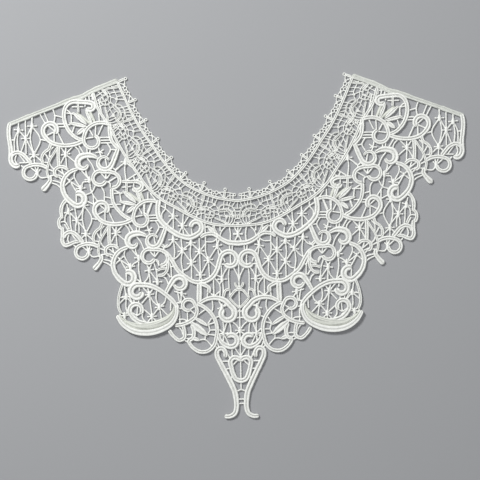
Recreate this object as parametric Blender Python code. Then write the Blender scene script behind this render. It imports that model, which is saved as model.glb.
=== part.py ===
"""Lace collar laid flat: scroll-work cords, thin brides between them and a net band round the neck.

The tables are in millimetres and draw the half at -X, which is the left as one looks down on the
collar. The half at +X is its mirror image. Y runs to the back of the neck, and Z is up from the
surface that the lace lies on. The origin is under the centre front of the neck cord.
"""

import math
from collections import namedtuple

import bmesh
import bpy
import numpy as np
from mathutils.geometry import delaunay_2d_cdt

MM = 0.001

# Heights over the surface that the lace lies on.
GROUND = 1.1  # net, brides, and the sides of every cord
CORD_TOP = 1.9  # crown of a cord or a satin leaf
PAD_TOP = 2.8  # crown of a padded crescent
SEAM = 0.36  # gap between two pieces where they join

BRIDE_WIDTH = 1.4
STAR_REACH = 2.2  # from a star's middle to the top and the foot of its knot
STAR_WIDTHS = [1.6, 3.2, 1.6]
CRESCENT_TIP = 2.0
PAD_SLOPE_AT = 0.27  # how far from the crescent's middle its pad starts to fall, as a share of its width
PAD_SLOPE_MARGIN = 0.7
NECK_CORD = 2.2
BAND_CORD = 2.4
BAND_SECTIONS = 40  # from the centre front to one shoulder

# The picot edging runs along the neck cord: a chain with a ring on a stem every 17 mm.
CHAIN_OFFSET = 2.7
CHAIN_WIDTH = 2.6
CHAIN_SECTIONS = 24
PEG_STEM = 1.6
PEG_RING = 3.6
PEG_SIDES = 6

# Scrolls get a point every so many degrees. A tight eye is reached late, a wide one early.
SCROLL_POINT_EVERY = 30.0
WIDEST_TIGHT_EYE = 3.0
# Leaves and crescents swell and thin like a sine to this power. A leaf's ends are cut off blunt.
SPINDLE_FULLNESS = 0.8
LEAF_BLUNTNESS = 0.12
LEAF_SECTIONS = 9

STEP = 1.6  # between two cross-sections of a cord
CROWN_STEP = 6.5  # between two raised points along a cord
CROWN_INSET = 1.3  # from a cord's end to its first raised point
CROWN_MARGIN = 0.32  # a raised point keeps this share of the cord's width from every edge
NARROWEST_CROWN = 2.4  # cords from this width up are raised
OUTLINE_ERROR = 0.45  # how far a cut edge may leave its true line
SEAM_ERROR = 0.06  # the same along a seam, where a neighbour is within the next length
SEAM_REACH = 0.9
SMALLEST_GAP = math.pi * 2.0 ** 2  # a gap smaller than a hole of 4 mm stays closed
PINCH_PATCH = 0.7  # a square of this size joins two places that touch in a single point
MERGE = 0.00001  # points of a plan closer than this are one point
THINNEST_TRIANGLE = 0.002  # in square millimetres

LACE_COLOUR = (0.80, 0.79, 0.74, 1.0)
LACE_ROUGHNESS = 0.85

# A cord runs smoothly through its route, from width to tip_width. A scroll goes on from the end of
# the route round an eye, turning left by turn_degrees, and closes in to end_radius.
Cord = namedtuple("Cord", "name width tip_width route scroll", defaults=[None])
Scroll = namedtuple("Scroll", "eye_x eye_y turn_degrees end_radius")
# A leaf is a satin spindle between two points.
Leaf = namedtuple("Leaf", "name width tip foot")
# A star is a knot of threads. Each bride that leaves it is a route from its middle.
Star = namedtuple("Star", "x y brides_to")
# The scroll wing is worked twice on each side. The lower copy is narrower and leans a little.
Placing = namedtuple("Placing", "shift_x shift_y narrowing lean about_x")

LOWER_WING = Placing(36.9, -61.7, 0.955, 0.02, -105.0)

WING_CORDS = [
    Cord("edge_arch", 3.4, 3.4, [
        (-176.6, 35.5), (-175.2, 38.6), (-171.5, 40.2), (-167, 38.6), (-163.3, 34.8), (-160.2, 31)]),
    Cord("edge_ring", 3.3, 3.3, [(-147.9, 27.6), (-152, 29.6), (-157.5, 30.4), (-162.3, 29.5)],
        Scroll(-161.6, 24.2, 262, 5.2)),
    Cord("rim", 2.2, 2.2, [
        (-139.9, 43.5), (-142.6, 39), (-145.6, 34.5), (-147.7, 29), (-148.3, 24.5), (-147, 19)]),
    Cord("ear", 2.6, 2.6, [
        (-144.8, 47), (-146.4, 42.6), (-149.6, 40.2), (-151.8, 37), (-152.1, 33.6), (-150.9, 31)]),
    Cord("strut", 3, 3, [(-139, 45), (-139.3, 37), (-139.1, 28.5)]),
    Cord("small_ring", 2.9, 2.9, [
        (-139.4, 20.3), (-142, 22.2), (-142.3, 25.6), (-139.6, 28), (-135, 28), (-131.6, 25.4)]),
    Cord("hook", 3.4, 5.2, [
        (-124.3, 26.4), (-130.2, 24.2), (-134.5, 20), (-136.6, 14), (-135.4, 7.5), (-132.6, 3),
        (-128.8, -0.6)], Scroll(-123.9, 2.8, 262, 4.9)),
    Cord("c_scroll", 3.9, 2.4, [(-108.9, 35.8), (-113.5, 36.9), (-118.3, 36.8)],
        Scroll(-118.9, 31, 246, 2.3)),
    Cord("ring_scroll", 3.2, 4.2, [(-92.3, 42), (-94.8, 35.6), (-97.3, 29.9)],
        Scroll(-103.2, 31, -305, 4.2)),
    Cord("double_ring", 3.3, 3.3, [
        (-98.2, 11), (-94.4, 11.9), (-91.9, 15.2), (-92.2, 19.2), (-95, 22.2), (-99.8, 23.6),
        (-104.6, 23.8)], Scroll(-107.2, 18.6, 275, 5.1)),
    Cord("s_scroll", 3.4, 4.2, [
        (-120, 48), (-125, 46), (-131.5, 44.9), (-138.5, 45.3), (-144.8, 47.6), (-149.2, 52)],
        Scroll(-144.7, 56.6, -262, 4)),
    Cord("hoop", 3.2, 3.2, [(-99, 61), (-105, 62.2), (-110.6, 61.4), (-116.2, 57.6), (-118.8, 52)],
        Scroll(-112.7, 48, 285, 4.2)),
]
WING_LEAVES = [
    Leaf("spike", 5.2, (-144.4, 19.6), (-153.2, 9.8)),
    Leaf("petal_a", 5.6, (-127.4, 70), (-114.2, 60.6)),
    Leaf("petal_b", 4.6, (-117.2, 72.4), (-111.2, 62)),
    Leaf("petal_c", 3.8, (-130.4, 61.8), (-116, 59)),
    Leaf("petal_d", 3.8, (-124.6, 53.2), (-118.2, 58.4)),
]
WING_STARS = [
    Star(-170, 57.8, [
        [(-164.5, 51)], [(-173.2, 51), (-173.6, 40.5)], [(-171.2, 49), (-170.4, 41)]]),
    Star(-164.5, 51, [[(-159.4, 60.6)], [(-168.2, 41)], [(-164.4, 39)], [(-158.3, 38.3)]]),
    Star(-159.4, 60.6, [[(-160.9, 50.5), (-158.3, 38.3)], [(-153.2, 50), (-158.3, 38.3)]]),
    Star(-158.3, 38.3, [[(-158, 30.6)], [(-152, 32.4)], [(-162.2, 34.6)]]),
    Star(-133.6, 38, [
        [(-133.2, 44.5)], [(-127, 44.8)], [(-137.4, 44)], [(-132.9, 28)], [(-138.2, 30)],
        [(-123.6, 29.4)]]),
    Star(-156, 23.8, [
        [(-161.6, 28.6)], [(-158, 29.6)], [(-155.2, 29.6)], [(-153.4, 20.2), (-147.2, 20.6)]]),
    Star(-130.7, 17, [[(-134.6, 21)], [(-135.6, 12.8)], [(-122.3, 11.1)], [(-126, 9)]]),
    Star(-122.3, 11.1, [[(-127.2, 20.6), (-125.6, 26.4)]]),
    Star(-115.4, 17.6, [
        [(-117.8, 23.2), (-117.6, 28.6)], [(-123, 27)], [(-112.4, 18)], [(-113.8, 8)]]),
    Star(-107.4, 39.7, []),
]
WING_BRIDES = [
    [(-153.2, 50), (-148.6, 49)], [(-178, 50), (-173.4, 50)],
    [(-172.2, 38.5), (-173.2, 34.2), (-171.8, 31.2)], [(-170, 38.5), (-165.4, 32.4)],
    [(-170, 32), (-160.5, 32.2)], [(-168.6, 30), (-165.6, 27.4)], [(-143, 44), (-145.7, 41), (-146, 36)],
    [(-149.4, 38.6), (-146.6, 33.8)], [(-151.4, 32.2), (-147, 31.8)],
    [(-146.4, 32.8), (-145.2, 29), (-143, 26.6)], [(-147.8, 26.8), (-143.4, 24.8)],
    [(-147.6, 21.2), (-142.6, 21.8)], [(-144.6, 17.6), (-139.6, 17), (-136.6, 15.8)],
    [(-144.4, 15.2), (-140.2, 14.6), (-136.8, 11.8)], [(-140.4, 26.2), (-134.8, 21.8)],
    [(-137, 27.4), (-135.4, 22)], [(-141.8, 22.6), (-136.4, 20.6)], [(-139.4, 20.4), (-136.2, 17.6)],
    [(-127.2, 45), (-123.2, 40.6), (-122.2, 35.6)], [(-123.6, 45.4), (-118.6, 37.4)],
    [(-117.2, 45.4), (-116.5, 37.4)], [(-114.4, 43.4), (-114.5, 37.4)],
    [(-108.9, 44), (-107.4, 39.7), (-106.6, 35.8)], [(-108.6, 50.6), (-98.6, 50.6)],
    [(-108.2, 48.4), (-98.4, 48.4)], [(-108.8, 46.3), (-98, 46.3)],
    [(-101, 46.2), (-98.4, 41.2), (-101, 36)], [(-98.4, 41.2), (-94, 40.6)],
    [(-102.8, 35), (-101.6, 28)], [(-98.2, 28.2), (-94.6, 25.2), (-91.6, 27.4)],
    [(-94.6, 25.2), (-95, 22)], [(-117, 34.8), (-113.2, 29.6), (-110.8, 23.4)],
    [(-115.4, 16.4), (-120.6, 15.6), (-121.2, 12)], [(-126, 6.8), (-125.8, 0.4)],
    [(-110.6, 13.4), (-113.8, 8), (-119.2, 5.8)], [(-113.8, 8), (-108.2, -0.6)],
    [(-106.8, 12.8), (-104.2, 8.4), (-104, -0.6)], [(-104.2, 4.2), (-98, 2.8)],
    [(-102.2, 18), (-106.2, 22.6)], [(-102.2, 18), (-102.6, 23)], [(-102.2, 18), (-98.6, 22.6)],
    [(-100.6, 15.6), (-93.4, 20)], [(-102, 16), (-99.4, 14.6), (-99.2, 11)],
    [(-147.2, 61), (-141.6, 56)], [(-149, 52.6), (-141.6, 56)], [(-142.3, 55.6), (-142.3, 47)],
    [(-139.6, 55.6), (-134.8, 45.6)], [(-115.2, 58), (-111.8, 52)], [(-109.6, 61), (-110, 52)],
    [(-103.6, 61.6), (-107.8, 52.6)], [(-117.6, 50), (-111.4, 51)], [(-126.2, 60.2), (-128, 55)],
]
UPPER_CORDS = [
    Cord("side_cord", 3.4, 4.2, [
        (-178, 61), (-178.6, 54), (-177.6, 47), (-176.9, 40), (-176.7, 34), (-175.2, 30.8),
        (-172.4, 29.5), (-169.6, 30.6)]),
    Cord("cord_two", 3.2, 4.2, [
        (-119.6, 48.4), (-126, 51.4), (-131.7, 58.2), (-134.6, 67), (-133.4, 75.6), (-128.6, 79.4),
        (-121, 79.2), (-113.6, 78.6)], Scroll(-114.2, 74.8, -250, 3.6)),
    Cord("junction", 3.4, 3.4, [(-98.6, 61.6), (-98.6, 54), (-97.2, 47.8), (-92, 41.2)]),
]
UPPER_BRIDES = [
    [(-170, 64.5), (-170, 57.8)], [(-164.6, 66.5), (-164.5, 51)], [(-159.3, 69), (-159.4, 60.6)],
    [(-153.4, 70.6), (-148.8, 62)], [(-150, 71.6), (-146.2, 62.6)],
    [(-143.2, 74.4), (-141.4, 68.6), (-142.2, 62.6)], [(-141.4, 68.6), (-135, 66.8)],
    [(-139.6, 61.8), (-134, 61.8)], [(-139.4, 59.6), (-133, 59.6)],
    [(-133.6, 74), (-129, 69.8), (-128.6, 61.8)], [(-134, 70.6), (-125.6, 69.2)],
    [(-132.4, 60.9), (-129, 61.2)], [(-123.2, 79.4), (-123, 67)], [(-107.3, 72), (-106.5, 62)],
    [(-117.4, 79), (-117.2, 73)], [(-107, 80.4), (-104.6, 70), (-102.6, 61.8)],
]
LOWER_CORDS = [
    Cord("scallop", 3.4, 3.4, [
        (-133.6, 2.6), (-137, -1), (-138.5, -6), (-138.6, -10), (-140.2, -14), (-139.6, -18.4),
        (-137.4, -21.6), (-137.2, -26), (-137.4, -30), (-135.6, -33.4), (-131, -33.2)]),
    Cord("cord_two_low", 3.2, 3.2, [
        (-83.4, -14.2), (-88.6, -11.2), (-93.4, -6.4), (-96.8, -1), (-98, 5), (-98, 11)]),
    Cord("band_curl", 2.6, 4, [(-90.4, 15.9), (-84, 15.6), (-77.8, 15.4), (-74.4, 13)],
        Scroll(-78.1, 12.3, -168, 3.7)),
    Cord("band_post", 2.2, 2.2, [(-86.5, 16), (-86.3, 6.8)]),
    Cord("lower_loop", 2.8, 2.8, [
        (-66, -37.2), (-60, -38.8), (-56.6, -43), (-55.6, -49), (-56.4, -54.6), (-59.6, -57.8),
        (-63.6, -58)]),
    Cord("lower_bar_a", 2.2, 2.2, [(-66, -47), (-61.4, -49.8), (-56, -49.6)]),
    Cord("lower_bar_b", 2.2, 2.2, [(-64.4, -54.6), (-60.6, -53), (-56, -52.8)]),
]
LOWER_STARS = [
    Star(-87, 31, [[(-87, 35)], [(-82, 31.5)], [(-94.6, 25.3)], [(-79.6, 24.6)]]),
    Star(-70, -54, [
        [(-72, -49)], [(-68, -48.6)], [(-71.4, -60), (-74.6, -64)], [(-69.4, -65)], [(-64, -62.6)]]),
    Star(-63.7, -63.2, []),
]
LOWER_BRIDES = [
    [(-134, 1), (-132.8, -5)], [(-138, -6.8), (-132.8, -5)], [(-139.6, -14.8), (-135.4, -14.8)],
    [(-132.8, -5), (-135.4, -14.8), (-131, -22)], [(-128, -2), (-126, -11.6)],
    [(-121, -1.6), (-121, -6.4), (-126, -11.6)], [(-121, -6.4), (-114.6, -12.6), (-110, -14)],
    [(-114.6, -12.6), (-118.8, -23)], [(-121.4, -6), (-119.6, -21)], [(-118.4, 1.4), (-111.6, -2)],
    [(-112.6, 6), (-112.4, -2)], [(-101, -2), (-97, -2)], [(-101, -4), (-96, -4)],
    [(-91.6, 6.8), (-97, 10)], [(-97.6, 6.6), (-89.6, 6.8)], [(-91.8, 6.8), (-90.8, -1)],
    [(-95.6, -2), (-91, -2)], [(-88, -2.6), (-89.8, -7.6)], [(-90.3, 11.3), (-82.9, 11.8)],
    [(-87, 30), (-87.6, 25), (-86.7, 16.5)], [(-86, 17), (-81.2, 20), (-77.6, 22.2)],
    [(-80.8, 19.6), (-79.4, 15.6)], [(-79.2, 16.6), (-75, 18.6)], [(-80.8, 14.6), (-80.8, 11.2)],
    [(-95.8, 9.4), (-92.6, 7.2)], [(-75.6, 7.4), (-70.4, 9.6)], [(-68, 6.4), (-63.7, 0.4)],
    [(-73.4, -1.8), (-73.2, -10)], [(-66.6, -0.8), (-70.4, -10.6)], [(-76.6, 6.6), (-73, 0.4)],
    [(-69.8, 7), (-70, 0)], [(-79.4, 9), (-77, 1.4)], [(-66.8, -46.8), (-64.4, -54.6), (-63.7, -66)],
    [(-78, -44.4), (-78.2, -54), (-76.4, -64)], [(-81.4, -59.4), (-76.4, -63.6)],
    [(-61, -58), (-57, -61), (-55.4, -65)], [(-55, -46), (-53.2, -51), (-52.6, -60)],
    [(-56.4, -56), (-53.6, -60)], [(-53.4, -52), (-50.6, -51)], [(-53, -44), (-50.4, -49)],
]
FRONT_CORDS = [
    Cord("j_scroll", 3.8, 3.8, [
        (-61.4, 1), (-62.4, -6), (-61.6, -12.6), (-57.6, -18.4), (-51, -24), (-44.4, -27.7),
        (-37.6, -28.9), (-31.8, -26.4)], Scroll(-33.4, -20.6, 270, 3.7)),
    Cord("u_cup", 3.4, 4.4, [
        (-60, -38.6), (-55.8, -41.2), (-52, -46.6), (-47.6, -54.4), (-41.6, -59.8), (-34.6, -63.8),
        (-27, -63.6), (-20.6, -60), (-16.8, -54.2), (-15, -48.2), (-13.2, -43.4)],
        Scroll(-6.7, -46.8, -290, 4.6)),
    Cord("smile", 2.8, 4.4, [
        (-29.6, -29.4), (-26, -27), (-20, -26.4), (-16.4, -28.2), (-12.6, -31), (-7.6, -33.4),
        (0, -34.3)]),
    Cord("collar_stem", 2.2, 2.2, [(-19.2, -19.6), (-18.2, -23.6), (-14.8, -29.4)]),
    Cord("under_hook", 3.4, 3.4, [(-31.6, -64.4), (-27, -66), (-23.8, -68.4), (-24.4, -72.6)]),
    Cord("low_curl", 3.4, 3.4, [(-57.6, -72.4), (-53.6, -65.4), (-50.2, -60.9)],
        Scroll(-46.1, -64.6, -300, 4.2)),
    Cord("stem", 4.4, 4.4, [(-31, -64), (-31.2, -72), (-31.6, -80.4)]),
]
FRONT_LEAVES = [
    Leaf("centre_leaf", 4.4, (-23.8, -20.2), (-17.8, -27)),
]
FRONT_STARS = [
    Star(-50.3, -12, [
        [(-56.4, -6), (-61, -3.2)], [(-49.8, -5)], [(-55.8, -19)], [(-50.4, -24)], [(-43.3, -19.8)]]),
    Star(-43.3, -19.8, [
        [(-42.4, -9)], [(-38.4, -12.6)], [(-46.2, -25.6)], [(-42.2, -28)], [(-37.6, -28.4)]]),
    Star(0, -27, [[(-3.4, -20.4)], [(0, -20)], [(-2.8, -33)]]),
    Star(-16.3, -36, [
        [(-17, -29.4)], [(-14.6, -30)], [(-15.2, -44)], [(-12.2, -42)], [(-23.6, -47)]]),
    Star(-23.6, -47, [
        [(-25.6, -40), (-25.5, -34), (-25.8, -16)], [(-30.3, -40)], [(-30, -58.6)], [(-22.9, -62)],
        [(-17.2, -53.6)]]),
    Star(-30.3, -40, [
        [(-25.5, -34)], [(-30.4, -29.6)], [(-37, -33.2)], [(-30, -58.6)], [(-36.8, -48.8)]]),
    Star(-37, -33.2, [[(-37.2, -29)], [(-37.6, -42), (-36.8, -48.8)], [(-43.8, -39)]]),
    Star(-36.8, -48.8, [
        [(-43.8, -39)], [(-40.6, -53.6), (-44.4, -54.6)], [(-37, -61.6)], [(-30, -58.6)]]),
    Star(-43.8, -39, [
        [(-44.8, -28)], [(-50.8, -30.4)], [(-48, -44), (-52, -46.6)], [(-44.8, -48), (-43.4, -57)]]),
    Star(-50.8, -30.4, [[(-51, -24.6)], [(-54, -35), (-58.6, -37)], [(-49.8, -40), (-50.6, -46)]]),
    Star(-30, -58.6, [[(-31.4, -64)], [(-28.4, -64)]]),
    Star(-13.2, -62.2, [
        [(-13.8, -50)], [(-11.4, -57), (-8.6, -53)], [(-12.4, -69), (-13, -77)], [(-15.2, -66.4)]]),
    Star(-45, -72.6, [[(-46, -80)], [(-41.6, -78.4)], [(-50.8, -71)], [(-45.2, -67.8)]]),
]
FRONT_BRIDES = [
    [(-59, -15), (-59.2, -10), (-56.4, -6), (-56.6, -1)], [(-36.4, -22), (-35.9, -27.6)],
    [(-29, -21.4), (-25.7, -21.2), (-23.6, -21)], [(-29.2, -24.6), (-26, -27)],
    [(-14, -19), (-13.9, -24.6)], [(-9, -20.4), (-13, -25), (-14.4, -29.6)],
    [(-7, -20), (-6, -26), (-6.2, -32.6)], [(-7, -35), (-6.6, -40)], [(-4.6, -35.2), (-4.8, -40)],
    [(-25.4, -32.6), (-20, -32.6), (-16.6, -30.4)], [(-57, -36), (-61.4, -31.6)],
    [(-6.4, -42), (-6.2, -51)], [(-11.8, -45.4), (-10.6, -48.8)], [(-15, -50), (-11, -50.6)],
    [(-19.2, -61), (-15.2, -66.4), (-15.2, -77)], [(-19.9, -61), (-19.8, -77)],
    [(-23.6, -71.6), (-19.8, -74.6), (-15.2, -71.8)], [(-24.6, -72.6), (-25.4, -78)],
    [(-17.4, -59), (-14, -60.4)], [(-7.2, -52.6), (-8, -58), (-7.8, -70)],
    [(-4.6, -52.4), (-0.8, -60), (0, -64)], [(0, -50), (0, -70)],
    [(-51, -65.6), (-48.4, -71), (-46.8, -80)],
]
LOBE_CORDS = [
    Cord("dome", 3.4, 4.4, [
        (-48.4, -88), (-48.9, -83), (-51.8, -78.6), (-57, -73.6), (-63.5, -68.8), (-70.5, -65.8),
        (-77.4, -65.2)], Scroll(-79.4, -70.4, 285, 3.6)),
    Cord("lobe_ring", 3.2, 3.2, [(-66, -96), (-73.4, -95.6), (-80.6, -93.2), (-85, -88.4)],
        Scroll(-80.8, -84.9, -262, 4.5)),
    Cord("lobe_edge", 2.4, 2.4, [
        (-91, -64), (-93.2, -70), (-94.6, -77), (-94.4, -83), (-92.6, -88.6), (-89.6, -94)]),
]
LOBE_STARS = [
    Star(-70.4, -73, [
        [(-76.4, -66)], [(-71.8, -66)], [(-66.8, -67.4)], [(-76.4, -79.8)],
        [(-69.2, -84), (-68.6, -90.2)], [(-67, -79), (-62.6, -82.8)]]),
    Star(-62.6, -82.8, [
        [(-65, -77), (-64.4, -69)], [(-58.6, -79.4), (-57.2, -74.8)], [(-68.6, -90.2)], [(-61, -93.4)],
        [(-55.8, -90)]]),
    Star(-68.6, -90.2, [[(-74.6, -84.6)], [(-68.6, -96)], [(-72.4, -95)], [(-64.4, -95)]]),
    Star(-88.4, -74.4, [
        [(-90, -64.4)], [(-94.4, -80)], [(-84, -79.6)], [(-88.8, -83), (-88, -86.4), (-90, -89)],
        [(-94.4, -75)], [(-84.6, -74.4)]]),
    Star(-90, -89, [[(-88.6, -95.6)], [(-94.6, -89.4)]]),
]
LOBE_BRIDES = [
    [(-76, -87), (-76, -91), (-73, -95)], [(-80.4, -89.4), (-84.4, -86.6)],
    [(-80.4, -89.4), (-79.6, -81)], [(-80.4, -89.4), (-76, -86.6)], [(-81.4, -90), (-77.6, -94)],
    [(-53.6, -77.6), (-54, -86)], [(-78.2, -66), (-78, -70)], [(-82.4, -74.6), (-82.4, -80)],
    [(-78.8, -74.4), (-78.8, -80)], [(-87, -64), (-86, -74), (-83.6, -79.6)], [(-88, -87), (-85.4, -88)],
]
BOW_CORDS = [
    Cord("s_cord", 3.2, 3.2, [
        (-51, -97.6), (-45.6, -97), (-39.4, -94.8), (-34.8, -91), (-33.2, -86), (-34.8, -81.4)],
        Scroll(-40.3, -82.2, 290, 3.8)),
    Cord("arch", 3.2, 4.4, [(-31.6, -80.6), (-25, -77.3), (-18, -76.6), (-11.4, -78.8), (-6.8, -83.4)],
        Scroll(-9.7, -88.9, -305, 4.1)),
    Cord("bow", 3.2, 3.4, [
        (-33.6, -80.6), (-28, -83.4), (-22.8, -88), (-19, -94.6), (-17.8, -101), (-18.6, -107.6),
        (-20.6, -113.8), (-25.6, -118.1), (-32, -118.4), (-37.6, -114.6), (-40, -110), (-37, -107.6),
        (-36, -103), (-37.8, -97)]),
    Cord("left_loop", 3.1, 3.1, [
        (-55.4, -100.6), (-52.2, -105.8), (-48, -109.4), (-44.8, -107.4), (-44.1, -102), (-44.2, -97)]),
]
BOW_LEAVES = [
    Leaf("big_leaf", 6.6, (-37.6, -95.4), (-25.2, -105.4)),
    Leaf("small_leaf", 4, (-35, -91.8), (-24.6, -97.8)),
    Leaf("foot_leaf", 3.4, (-38.4, -107.2), (-31.8, -109.4)),
]
BOW_STARS = [
    Star(-13.8, -84, [[(-16.6, -77.8)], [(-9.6, -80.8)]]),
    Star(-13, -104.6, [
        [(-12.8, -99), (-13.4, -94)], [(-9.8, -95)], [(-18, -99.6)], [(-13.2, -112)], [(-8.6, -113.6)]]),
]
BOW_BRIDES = [
    [(-38.6, -85.4), (-34.6, -82.6)], [(-38.6, -85.8), (-34, -89.8)], [(-40.8, -86), (-40.8, -95)],
    [(-32.6, -89.6), (-26, -85)], [(-25, -96.8), (-22, -92.4)], [(-25, -97.4), (-19.6, -96)],
    [(-24.6, -97.8), (-23.6, -101.8), (-25.4, -105)], [(-23.6, -101.8), (-18, -101.6)],
    [(-25.4, -105), (-18.6, -106)], [(-27.2, -105.6), (-27.4, -109.4)],
    [(-32, -109.3), (-27.4, -109.2), (-21.6, -115)], [(-43.8, -105), (-36.6, -105)],
    [(-43.6, -107), (-38.6, -109)], [(-44, -109), (-40.6, -111)],
    [(-48.4, -98), (-45.6, -101.8), (-44.8, -105)], [(-48, -92.8), (-43, -93.2), (-40.6, -95)],
    [(-47, -86), (-46.8, -97)], [(-49.4, -80), (-46, -80)], [(-49, -84.4), (-45, -84.4)],
    [(-21.6, -77), (-20.8, -83), (-21.8, -88)], [(-20, -92.6), (-14.8, -90.6)],
    [(-8.6, -94), (-7.2, -100), (-7, -104.6)], [(-18, -104.8), (-9.4, -104.8)],
    [(-17.6, -109), (-14.6, -106)],
]
PENDANT_CORDS = [
    Cord("low_scroll", 3.4, 4.6, [(-17.6, -101), (-17, -107), (-13.6, -112.4), (-9, -115)],
        Scroll(-7.2, -109.9, 248, 3.9)),
    Cord("heart", 4, 4, [
        (0.6, -126.2), (-2.4, -123.9), (-5.8, -123.7), (-8, -126.4), (-7.4, -131), (-6, -136.4),
        (-3.8, -140.4), (0, -142)]),
    Cord("tail", 4.2, 4, [
        (-11.9, -123.6), (-11.8, -119), (-14.4, -116.2), (-17.8, -117.4), (-18.4, -121.4),
        (-15.8, -127.6), (-12.9, -133.4), (-10.1, -139), (-7.3, -144.8), (-5, -150.6), (-4, -157),
        (-4, -163), (-5.4, -167.2), (-9, -169.6), (-13.2, -169.6)]),
    Cord("horns", 2.6, 2.6, [(-3, -65), (-2, -68.2), (0, -69.4)]),
    Cord("lambda", 2.8, 2.8, [(0, -70.4), (-3.6, -71.8), (-6.6, -74.6), (-8, -77.4)]),
    Cord("vee", 2, 2, [(-8, -77.2), (-5, -81), (0, -85)]),
    Cord("tip_arm", 2.4, 2.4, [(-7.4, -70), (-10.6, -71), (-12.8, -76.4)]),
]
PENDANT_STARS = [
    Star(0, -102.4, [[(0, -91)], [(-3, -98), (-6.6, -95)], [(-3.2, -105.6)], [(0, -110)]]),
]
PENDANT_BRIDES = [
    [(0, -70), (0, -85)], [(0, -85), (0, -91)], [(-4.6, -87.4), (0, -87.4)], [(-4.6, -92.4), (0, -92.4)],
    [(-7.4, -70), (-7.2, -76)], [(0, -111.6), (0, -126)], [(-4.8, -115.4), (0, -122.6)],
    [(0, -126), (0, -141.6)], [(-2.6, -126), (-6, -129.4)], [(-6.6, -115.6), (-6.4, -123)],
    [(-10.6, -119), (-8.4, -124)], [(-14.4, -126.4), (-8.6, -126.4)], [(-12.4, -132.4), (-8, -132.2)],
    [(-9.4, -138.6), (-5.4, -139.4)], [(0, -142), (0, -148.6)], [(0, -148.6), (-5, -150.6)],
    [(-4, -156.2), (0, -156.2)], [(-4, -159.6), (0, -159.6)], [(-20, -113.6), (-17, -117)],
    [(-18.6, -110), (-16.4, -116)], [(0, -109.8), (-3.4, -109.8)], [(-0.4, -112), (-3.6, -111.4)],
]
SHOULDER_CORD = Cord("shoulder_bar", 3.9, 3.9, [
        (-178.6, 61.8), (-160, 68.9), (-140, 76.4), (-118, 85), (-91.5, 95.4)])
CRESCENT = Cord("crescent", 9.4, 2, [
        (-96, -88.6), (-91, -95), (-83, -99.6), (-73.5, -100.6), (-63, -98.8), (-54, -94),
        (-50.2, -87.8), (-49.9, -82)])
NECK_LINE = [
    (0, -0.6), (-13.6, 1.6), (-27, 6.2), (-40.2, 13.5), (-49, 21.7), (-57.7, 32.6), (-66.3, 45.6),
    (-74.6, 58), (-81.4, 71), (-86.8, 83.3), (-91.6, 94.4)]
BAND_EDGE = [
    (0, -20.6), (-19.3, -18.9), (-33.5, -13.6), (-48.9, -5), (-59.4, 1.2), (-69.9, 10.8),
    (-78, 22.5), (-86.1, 34.6), (-93.5, 48), (-98.6, 59), (-103.1, 65.9), (-107.4, 73),
    (-110.6, 83.7), (-111.6, 87.4)]
PEGS = [
    (-9.4, 8.1), (-25.7, 13.5), (-40, 21.6), (-51, 33.9), (-61.2, 48.8), (-70.3, 63.8),
    (-78.4, 79.6), (-85.6, 96.3)]


# ---- lines and ribbons ----

def smooth_line(points, step):
    """A centripetal Catmull-Rom curve through the points, sampled about every step."""
    p = np.array(points, dtype=float)
    ends = np.vstack([2 * p[0] - p[1], p, 2 * p[-1] - p[-2]])
    line = []
    for a, b, c, d in zip(ends, ends[1:], ends[2:], ends[3:]):
        knots = np.cumsum([0.0] + [max(np.linalg.norm(v), 1e-6) ** 0.5 for v in (b - a, c - b, d - c)])
        t0, t1, t2, t3 = knots
        count = max(1, round(np.linalg.norm(c - b) / step))
        for t in np.linspace(t1, t2, count, endpoint=False):
            ab = ((t1 - t) * a + (t - t0) * b) / (t1 - t0)
            bc = ((t2 - t) * b + (t - t1) * c) / (t2 - t1)
            cd = ((t3 - t) * c + (t - t2) * d) / (t3 - t2)
            abc = ((t2 - t) * ab + (t - t0) * bc) / (t2 - t0)
            bcd = ((t3 - t) * bc + (t - t1) * cd) / (t3 - t1)
            line.append(((t2 - t) * abc + (t - t1) * bcd) / (t2 - t1))
    line.append(p[-1])
    return np.array(line)


def scroll_points(start, scroll):
    """Points from start round the scroll's eye."""
    dx = start[0] - scroll.eye_x
    dy = start[1] - scroll.eye_y
    first_radius = math.hypot(dx, dy)
    first_angle = math.atan2(dy, dx)
    closes_late = scroll.end_radius <= WIDEST_TIGHT_EYE
    count = max(3, round(abs(scroll.turn_degrees) / SCROLL_POINT_EVERY))
    points = []
    for i in range(1, count + 1):
        f = i / count
        shrink = 1 - f ** 3 if closes_late else (1 - f) ** 2
        radius = scroll.end_radius + (first_radius - scroll.end_radius) * shrink
        angle = first_angle + math.radians(scroll.turn_degrees) * f
        points.append((scroll.eye_x + radius * math.cos(angle), scroll.eye_y + radius * math.sin(angle)))
    return points


def cord_line(cord):
    """The centre line of a cord with its scroll."""
    points = list(cord.route)
    if cord.scroll:
        points += scroll_points(points[-1], cord.scroll)
    return smooth_line(points, STEP)


def normals_of(line):
    """The unit normal at each point of a line, on its left."""
    along = np.gradient(line, axis=0)
    along /= np.linalg.norm(along, axis=1)[:, None]
    return np.stack([-along[:, 1], along[:, 0]], axis=1)


def ribbon(line, widths):
    """Triangles that cover a line with a width at each of its points."""
    side = normals_of(line) * np.asarray(widths)[:, None] / 2
    left = line + side
    right = line - side
    triangles = []
    for i in range(len(line) - 1):
        triangles.append([left[i], right[i], right[i + 1]])
        triangles.append([left[i], right[i + 1], left[i + 1]])
    return triangles


def reach_along(line):
    """How far along the line each of its points is."""
    return np.concatenate([[0], np.cumsum(np.linalg.norm(np.diff(line, axis=0), axis=1))])


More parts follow.
